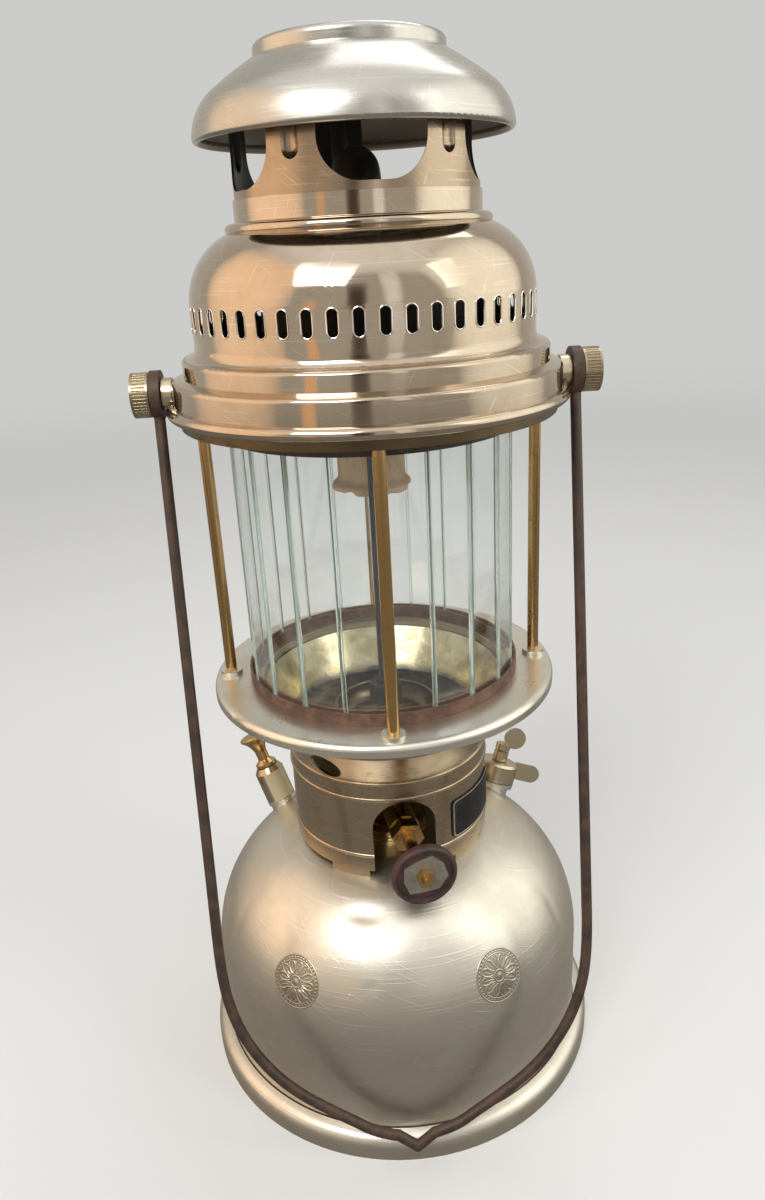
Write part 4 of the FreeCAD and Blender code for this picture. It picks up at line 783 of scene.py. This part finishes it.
def bar(point, direction, radius, half_length):
    """Closed round bar through a point, as a mesh object, for cutting holes."""
    turn = full_turn(BAR_SIDES)
    ring = np.stack([radius * np.cos(turn), radius * np.sin(turn), np.zeros_like(turn)], -1)
    ends = np.stack([ring - [0, 0, half_length], ring + [0, 0, half_length]])
    turned = np.array(Vector(direction).to_track_quat("Z", "Y").to_matrix())
    points = ends.reshape(-1, 3) @ turned.T + np.array(point)
    walls = cells(2, BAR_SIDES, wrap_columns=True)[:, ::-1].tolist()
    caps = [list(range(BAR_SIDES))[::-1], list(range(BAR_SIDES, 2 * BAR_SIDES))]
    mesh = bpy.data.meshes.new("cutter")
    mesh.from_pydata(points, [], walls + caps)
    made = bpy.data.objects.new("cutter", mesh)
    bpy.context.scene.collection.objects.link(made)
    return made


def bored(piece, cutters):
    """Cuts the bars out of a piece, keeps the result as its mesh and removes the bars."""
    for cutter in cutters:
        hole = piece.modifiers.new("hole", "BOOLEAN")
        hole.object = cutter
        hole.solver = "EXACT"
    graph = bpy.context.evaluated_depsgraph_get()
    result = bpy.data.meshes.new_from_object(piece.evaluated_get(graph))
    piece.modifiers.clear()
    piece.data = result
    for cutter in cutters:
        bpy.data.objects.remove(cutter)


def tank_piece():
    """Outer side walked up and inner side walked down, as one closed loop turned around the axis."""
    azimuth = np.linspace(-math.pi, math.pi, AROUND, endpoint=False)[:, None]
    top_way = straight_way + dome_way + TANK_R - TANK_DOME - TANK_MOUTH
    outside = np.linspace(0, top_way, UP_OUTSIDE)[None, :]
    inside = np.linspace(top_way, 0, UP_INSIDE)[None, :]
    skin = on_tank(azimuth, outside, dented(azimuth, outside))
    lining = on_tank(azimuth, inside, dented(azimuth, inside) - TANK_WALL)
    points = np.concatenate([skin, lining], axis=1)
    faces = cells(AROUND, UP_OUTSIDE + UP_INSIDE, wrap_rows=True, wrap_columns=True)
    piece = new_piece("tank", points, faces, TANK_NICKEL, "base")
    axes = {joint["name"]: joint["axis"] for joint in frame["joints"]}
    dome_top = tank_profile(straight_way + dome_way)[1]
    across = FITTING_RADIUS - (TANK_R - TANK_DOME)
    fitting_z = TANK_SHOULDER + math.sqrt(TANK_DOME ** 2 - across ** 2)
    pump_place = around_z(PUMP_AZIMUTH, FITTING_RADIUS, fitting_z)
    filler_place = around_z(FILLER_AZIMUTH, FITTING_RADIUS, fitting_z)
    bored(piece, [bar(pump_place, axes["pump_stroke"], PUMP_BORE, BORE_REACH),
                  bar(filler_place, axes["filler_cap_turn"], FILLER_BORE, BORE_REACH),
                  bar((0, VALVE_Y, dome_top), (0, 0, 1), VALVE_BORE, VALVE_REACH)])
    piece.data.set_sharp_from_angle(angle=math.radians(CREASE))
    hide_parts("tank_shell")


tank_piece()

# %% [markdown]
# ## Rosettes on the tank
#
# Two round ornaments decorate the front of the tank. They are an old and common motif: a ring of petals
# inside a beaded border. Each is a polar grid laid on the curved tank, with a height that is a formula of the
# distance from the middle and of the angle. A second layer, inside the tank's wall, closes the shape.

# %% Petal rosettes
ROSETTE_R = 10.5 * MM
ROSETTE_RELIEF = 0.16 * MM
ROSETTE_PLACES = ((-35.0, 70.4), (28.5, 69.7))
ROSETTE_BASE = 0.03 * MM
ROSETTE_SUNK = 0.1 * MM
ROSETTE_BACK = 0.4 * MM
ROSETTE_EYE = 0.004
ROSETTE_RIM = 0.985
ROSETTE_RINGS = 72
ROSETTE_SPOKES = 240
ROSETTE_CREASE = 60.0
PETALS = 12
BEADS = 40


def ridge(value, centre, half_width):
    """Round-topped ridge around a centre value."""
    return np.clip(1 - ((value - centre) / half_width) ** 2, 0, None)


def rosette_height(rho, theta):
    """Border ring, row of beads, thin ring, pointed petals with a vein, and a middle boss, from 0 to 1."""
    border = ridge(rho, 0.955, 0.035)
    beads = ridge(rho, 0.875, 0.04) * np.clip(np.cos(BEADS * theta), 0, None) ** 0.5
    ring = 0.8 * ridge(rho, 0.80, 0.02)
    aside = np.abs(turned_from(PETALS * theta, 0)) / math.pi
    edge = 0.92 * np.sqrt(np.clip(1 - ((rho - 0.52) / 0.24) ** 2, 0, None))
    vein = 0.7 * ridge(aside, 0, 0.12) * (np.abs(rho - 0.5) < 0.16)
    petal = ridge(aside, edge, 0.22) * (edge > 0.05) + vein
    boss = ridge(rho, 0.0, 0.13) + 0.8 * ridge(rho, 0.21, 0.025)
    return np.clip(border + beads + ring + petal + boss, 0, 1)


def rosette(name, azimuth_degrees, height_mm):
    """Polar grid lifted by its relief and sunk at its rim; a ring and a middle behind it close the shape."""
    rho = np.linspace(ROSETTE_EYE, 1.0, ROSETTE_RINGS)[:, None]
    theta = full_turn(ROSETTE_SPOKES)[None, :]
    relief = rosette_height(rho, theta)
    edge = np.clip((rho - ROSETTE_RIM) / (1 - ROSETTE_RIM), 0, 1)
    lift = (ROSETTE_BASE + ROSETTE_RELIEF * relief) * (1 - edge) - ROSETTE_SUNK * edge
    back = np.array([1.0, ROSETTE_EYE])[:, None]
    rho_all = np.concatenate([rho, back])
    lift_all = np.concatenate([lift, np.full((2, theta.size), -ROSETTE_BACK)])
    x = ROSETTE_R * rho_all * np.cos(theta)
    y = ROSETTE_R * rho_all * np.sin(theta)
    middle_way = way_at(height_mm * MM)
    way = middle_way + y
    azimuth = math.radians(azimuth_degrees) + x / tank_profile(np.array(middle_way))[0]
    points = on_tank(azimuth, way, lift_all + dented(azimuth, way))
    faces = cells(len(rho_all), theta.size, wrap_rows=True, wrap_columns=True)
    piece = new_piece(name, points, faces, ROSETTE_NICKEL, "base", ROSETTE_CREASE)
    point_values(piece, "relief", np.concatenate([relief, np.zeros((2, theta.size))]))


def rosette_finish():
    """The tank's plating with dirt left between the raised lines."""
    look = Finish("rosette_nickel", Metallic=1.0)
    relief = look.node("ShaderNodeAttribute", {}, "Fac", attribute_name="relief")
    clouds = look.noise(look.place, 120.0, 5.0, 0.6)
    raised = look.ramp(relief, 0.05, 0.55)
    clean = look.mix(look.ramp(clouds, 0.35, 0.65), (0.62, 0.58, 0.50), (0.52, 0.48, 0.40))
    dirt = look.mix(look.ramp(clouds, 0.4, 0.6), (0.46, 0.42, 0.34), (0.36, 0.31, 0.24))
    look.set("Base Color", look.mix(raised, dirt, clean))
    look.set("Roughness", look.ramp(raised, 0.0, 1.0, 0.46, 0.28))
    return look.material


ROSETTE_NICKEL = rosette_finish()
for side, (azimuth_degrees, height_mm) in zip(("left", "right"), ROSETTE_PLACES):
    rosette("rosette_" + side, azimuth_degrees, height_mm)

# %% [markdown]
# ## Lips of the vent slots
#
# The slots in the hood were punched from inside, which leaves a bright rounded lip around each. A lip is a
# round wire carried along the slot's outline, two straight sides and two half circles on the hood's cylinder.

# %% Slot lips
SLOT_COUNT = 48
SLOT_TURN = math.radians(4.0)
SLOT_HALF_WIDTH = 1.85 * MM
SLOT_HALF_STRAIGHT = 2.45 * MM
SLOT_Z = 312.4 * MM
DOME_R = 60.0 * MM
LIP_R = 0.30 * MM
LIP_SUNK = 0.1 * MM
LIP_POINTS = 32
LIP_SIDES = 8
# A hair's turn, so that the outline starts on the slot's upper half circle
A_HAIR = 1e-6


def slot_lips():
    """Around each slot: outline point plus lip radius times (cos v within the wall, sin v off the wall)."""
    u = full_turn(LIP_POINTS)[:, None]
    v = full_turn(LIP_SIDES)[None, :]
    reach = SLOT_HALF_WIDTH + LIP_R * np.cos(v)
    x = reach * np.cos(u)
    y = reach * np.sin(u) + SLOT_HALF_STRAIGHT * np.sign(np.sin(u + A_HAIR))
    off = np.broadcast_to(LIP_R * np.sin(v), x.shape)
    turn = SLOT_TURN + 2 * math.pi * np.arange(SLOT_COUNT)[:, None, None] / SLOT_COUNT
    points = around_z(turn + x[None] / DOME_R, DOME_R + off[None] - LIP_SUNK, SLOT_Z + y[None])
    faces = cells(LIP_POINTS, LIP_SIDES, wrap_rows=True, wrap_columns=True)
    faces = repeated(points.reshape(SLOT_COUNT, -1, 3), faces)
    new_piece("slot_lips", points, faces, LIP_NICKEL, "hood")


LIP_NICKEL = nickel("lip_nickel", (0.80, 0.77, 0.71), (0.70, 0.65, 0.57), (0.5, 0.4, 0.28),
                    tarnish=0.0, smooth=0.08, rough=0.22, scratch=0.000002, wave=0.00002)
slot_lips()

# %% [markdown]
# ## Turned pieces: guard rods and the bead of the neck
#
# A thin rod in the CAD mesh has only a few flat sides, and polished metal shows every one of them. The hood's
# neck stands on a rolled bead that is rounder than the CAD's. Both are turned shapes: a closed loop of radius
# and height carried around an axis, four times for the rods and once for the bead.

# %% Guard rods and neck bead
ROD_COUNT = 4
ROD_SIDES = 40
ROD_CIRCLE = 61.2 * MM
ROD_R = 2.2 * MM
ROD_HEAD_R = 3.0 * MM
ROD_HEAD = 1.15 * MM
ROD_CORE = 0.2 * MM
BEAD_SIDES = 256
BEAD_POINTS = 24
BEAD_R = 2.0 * MM
BEAD_CIRCLE = 43.5 * MM
BEAD_Z = 339.5 * MM


def turned_loop(loop, sides):
    """Points and faces of a closed loop of radius and height, carried around the axis."""
    turn = full_turn(sides)[:, None]
    points = around_z(turn, loop[None, :, 0], loop[None, :, 1])
    return points, cells(sides, len(loop), wrap_rows=True, wrap_columns=True)


def smooth_rods():
    """Round rods with a flat head at each end."""
    low, high = (corner.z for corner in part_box("guard_rods"))
    from_z = low + ROD_HEAD
    to_z = high - ROD_HEAD
    loop = np.array([(ROD_CORE, low), (ROD_HEAD_R, low), (ROD_HEAD_R, from_z), (ROD_R, from_z),
                     (ROD_R, to_z), (ROD_HEAD_R, to_z), (ROD_HEAD_R, high), (ROD_CORE, high)])
    points, faces = turned_loop(loop, ROD_SIDES)
    places = around_z(full_turn(ROD_COUNT), ROD_CIRCLE, 0.0)
    points = points.reshape(1, -1, 3) + places[:, None, :]
    piece = new_piece("smooth_rods", points, repeated(points, faces), ROD_BRASS, "base")
    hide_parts("guard_rods")


def neck_bead():
    """Ring of round section where the neck leaves the crown."""
    turn = full_turn(BEAD_POINTS)
    loop = np.stack([BEAD_CIRCLE + BEAD_R * np.cos(turn), BEAD_Z + BEAD_R * np.sin(turn)], -1)
    points, faces = turned_loop(loop, BEAD_SIDES)
    new_piece("neck_bead", points, faces, POLISHED_NICKEL, "hood")


smooth_rods()
neck_bead()

# %% [markdown]
# ## Plate on the collar
#
# A small black enamelled plate with a bright border is fixed to the collar. Its outline is a rounded
# rectangle, drawn in rings that shrink towards the middle and wrapped around the collar; the border is a ring
# that stands a little proud.

# %% Blank plate with a bright border
PLATE_AZIMUTH = math.radians(56.0)
PLATE_Z = 119.5 * MM
PLATE_HALF_WIDTH = 15.9 * MM
PLATE_HALF_HEIGHT = 8.5 * MM
PLATE_CORNER = 2.0 * MM
COLLAR_R = 40.5 * MM
PLATE_GAP = 0.05 * MM
PLATE_THICK = 0.5 * MM
PLATE_CREASE = 50.0
BORDER_RISE = 0.12 * MM
CORNER_POINTS = 7
EDGE_POINTS = 18
# Share of the outline, share of the thickness and share of the border's rise, for each ring
PLATE_RINGS = ((1.0, 0.0, 0), (1.0, 0.9, 0), (0.975, 1.0, 0),
               (0.965, 1.0, 1), (0.925, 1.0, 1), (0.915, 1.0, 0),
               (0.8, 1.0, 0), (0.6, 1.0, 0), (0.4, 1.0, 0),
               (0.2, 1.0, 0), (0.01, 1.0, 0), (0.01, 0.0, 0))


def rounded_rectangle(half_width, half_height, corner):
    """Outline walked counter-clockwise: four quarter circles with points along the edges between them."""
    arc = np.linspace(0, math.pi / 2, CORNER_POINTS)
    quarter = np.stack([np.cos(arc), np.sin(arc)], -1) * corner
    long_edge = np.linspace(1, -1, EDGE_POINTS)[1:-1, None] * [half_width - corner, 0]
    right_top = quarter + [half_width - corner, half_height - corner]
    top = long_edge + [0, half_height]
    left_top = quarter[::-1] * [-1, 1] + [corner - half_width, half_height - corner]
    upper = np.concatenate([right_top, top, left_top])
    return np.concatenate([upper, -upper])


def blank_plate():
    """Rings of the outline, shrunk and lifted off the collar, from the edge over the face to the back."""
    ring = rounded_rectangle(PLATE_HALF_WIDTH, PLATE_HALF_HEIGHT, PLATE_CORNER)
    shrink, rise, silver = (column[:, None] for column in np.array(PLATE_RINGS).T)
    lift = rise * PLATE_THICK + silver * BORDER_RISE
    x = ring[None, :, 0] * shrink
    y = ring[None, :, 1] * shrink
    points = around_z(PLATE_AZIMUTH + x / COLLAR_R, COLLAR_R + PLATE_GAP + lift, PLATE_Z + y)
    faces = cells(*x.shape, wrap_rows=True, wrap_columns=True)[:, ::-1]
    piece = new_piece("blank_plate", points, faces, ENAMEL_PLATE, "base", PLATE_CREASE)
    point_values(piece, "silver", np.broadcast_to(silver, x.shape))
    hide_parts("data_plate")


def enamel_plate():
    """Black enamel with wear, and bare metal where the border stands up."""
    look = Finish("enamel_plate", Specular_IOR_Level=0.25)
    silver = look.ramp(look.node("ShaderNodeAttribute", {}, "Fac", attribute_name="silver"), 0.4, 0.6)
    wear = look.noise(look.place, 300.0, 5.0, 0.6)
    black = look.mix(look.ramp(wear, 0.5, 0.75), (0.012, 0.012, 0.013), (0.035, 0.033, 0.03))
    metal = look.mix(look.ramp(wear, 0.4, 0.65), (0.62, 0.59, 0.53), (0.42, 0.38, 0.32))
    look.set("Base Color", look.mix(silver, black, metal))
    look.set("Metallic", silver)
    look.set("Roughness", look.ramp(wear, 0.35, 0.75, 0.34, 0.5))
    return look.material


ENAMEL_PLATE = enamel_plate()
blank_plate()

# %% [markdown]
# ## Clay nozzle
#
# The mantle would hang from a fired clay nozzle. Clay chips, and this nozzle's lip is wavy and broken. It is
# a turned profile whose radius and lower edge are shifted by a few slow waves and two chips around the lip.

# %% Chipped clay nozzle
BURNER_Y = 14.0 * MM
NOZZLE_LOW = 243.5 * MM
NOZZLE_SIDES = 96
NOZZLE_CREASE = 50.0
NOZZLE_LIP = 5 * MM
WAVE_IN = 0.35 * MM
WAVE_UP = 0.45 * MM
CHIP_IN = 0.9 * MM
CHIP_UP = 1.1 * MM
# Way around and half width of each chip, in radians
CHIPS = ((-0.7, 0.22), (1.3, 0.16))
# Radius and height in mm
NOZZLE_LOOP = ((9.0, 3.0), (11.5, 1.2), (13.6, 0.35), (14.9, 0.3), (15.5, 1.0), (15.6, 2.2), (15.2, 3.2),
               (14.2, 4.2), (13.3, 5.2), (13.0, 6.6), (13.0, 12.0), (13.0, 18.5), (9.0, 18.5), (9.0, 11.0))


def clay_piece():
    """Loop turned about the burner; waves and chips fade from the lowest point up to the lip's reach."""
    loop = np.array(NOZZLE_LOOP) * MM
    turn = full_turn(NOZZLE_SIDES)[:, None]
    near_lip = np.clip(1 - loop[None, :, 1] / NOZZLE_LIP, 0, 1)
    wave = 0.5 * np.sin(5 * turn + 0.6) + 0.35 * np.sin(11 * turn + 2.0) + 0.3 * np.sin(17 * turn)
    chip = sum(np.exp(-(turned_from(turn, start) / width) ** 2) for start, width in CHIPS)
    radius = loop[None, :, 0] - near_lip * (WAVE_IN * (1 + wave) + CHIP_IN * chip)
    height = NOZZLE_LOW + loop[None, :, 1] + near_lip * (WAVE_UP * (1 + wave) + CHIP_UP * chip)
    points = around_z(turn, radius, height) + np.array([0, BURNER_Y, 0])
    faces = cells(NOZZLE_SIDES, len(loop), wrap_rows=True, wrap_columns=True)
    piece = new_piece("chipped_nozzle", points, faces, CLAY, "base", NOZZLE_CREASE)
    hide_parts("clay_nozzle")


clay_piece()

# %% [markdown]
# ## View transform
#
# The picture is shown through Blender's Standard view transform.

# %% Standard view transform
bpy.context.scene.view_settings.view_transform = "Standard"
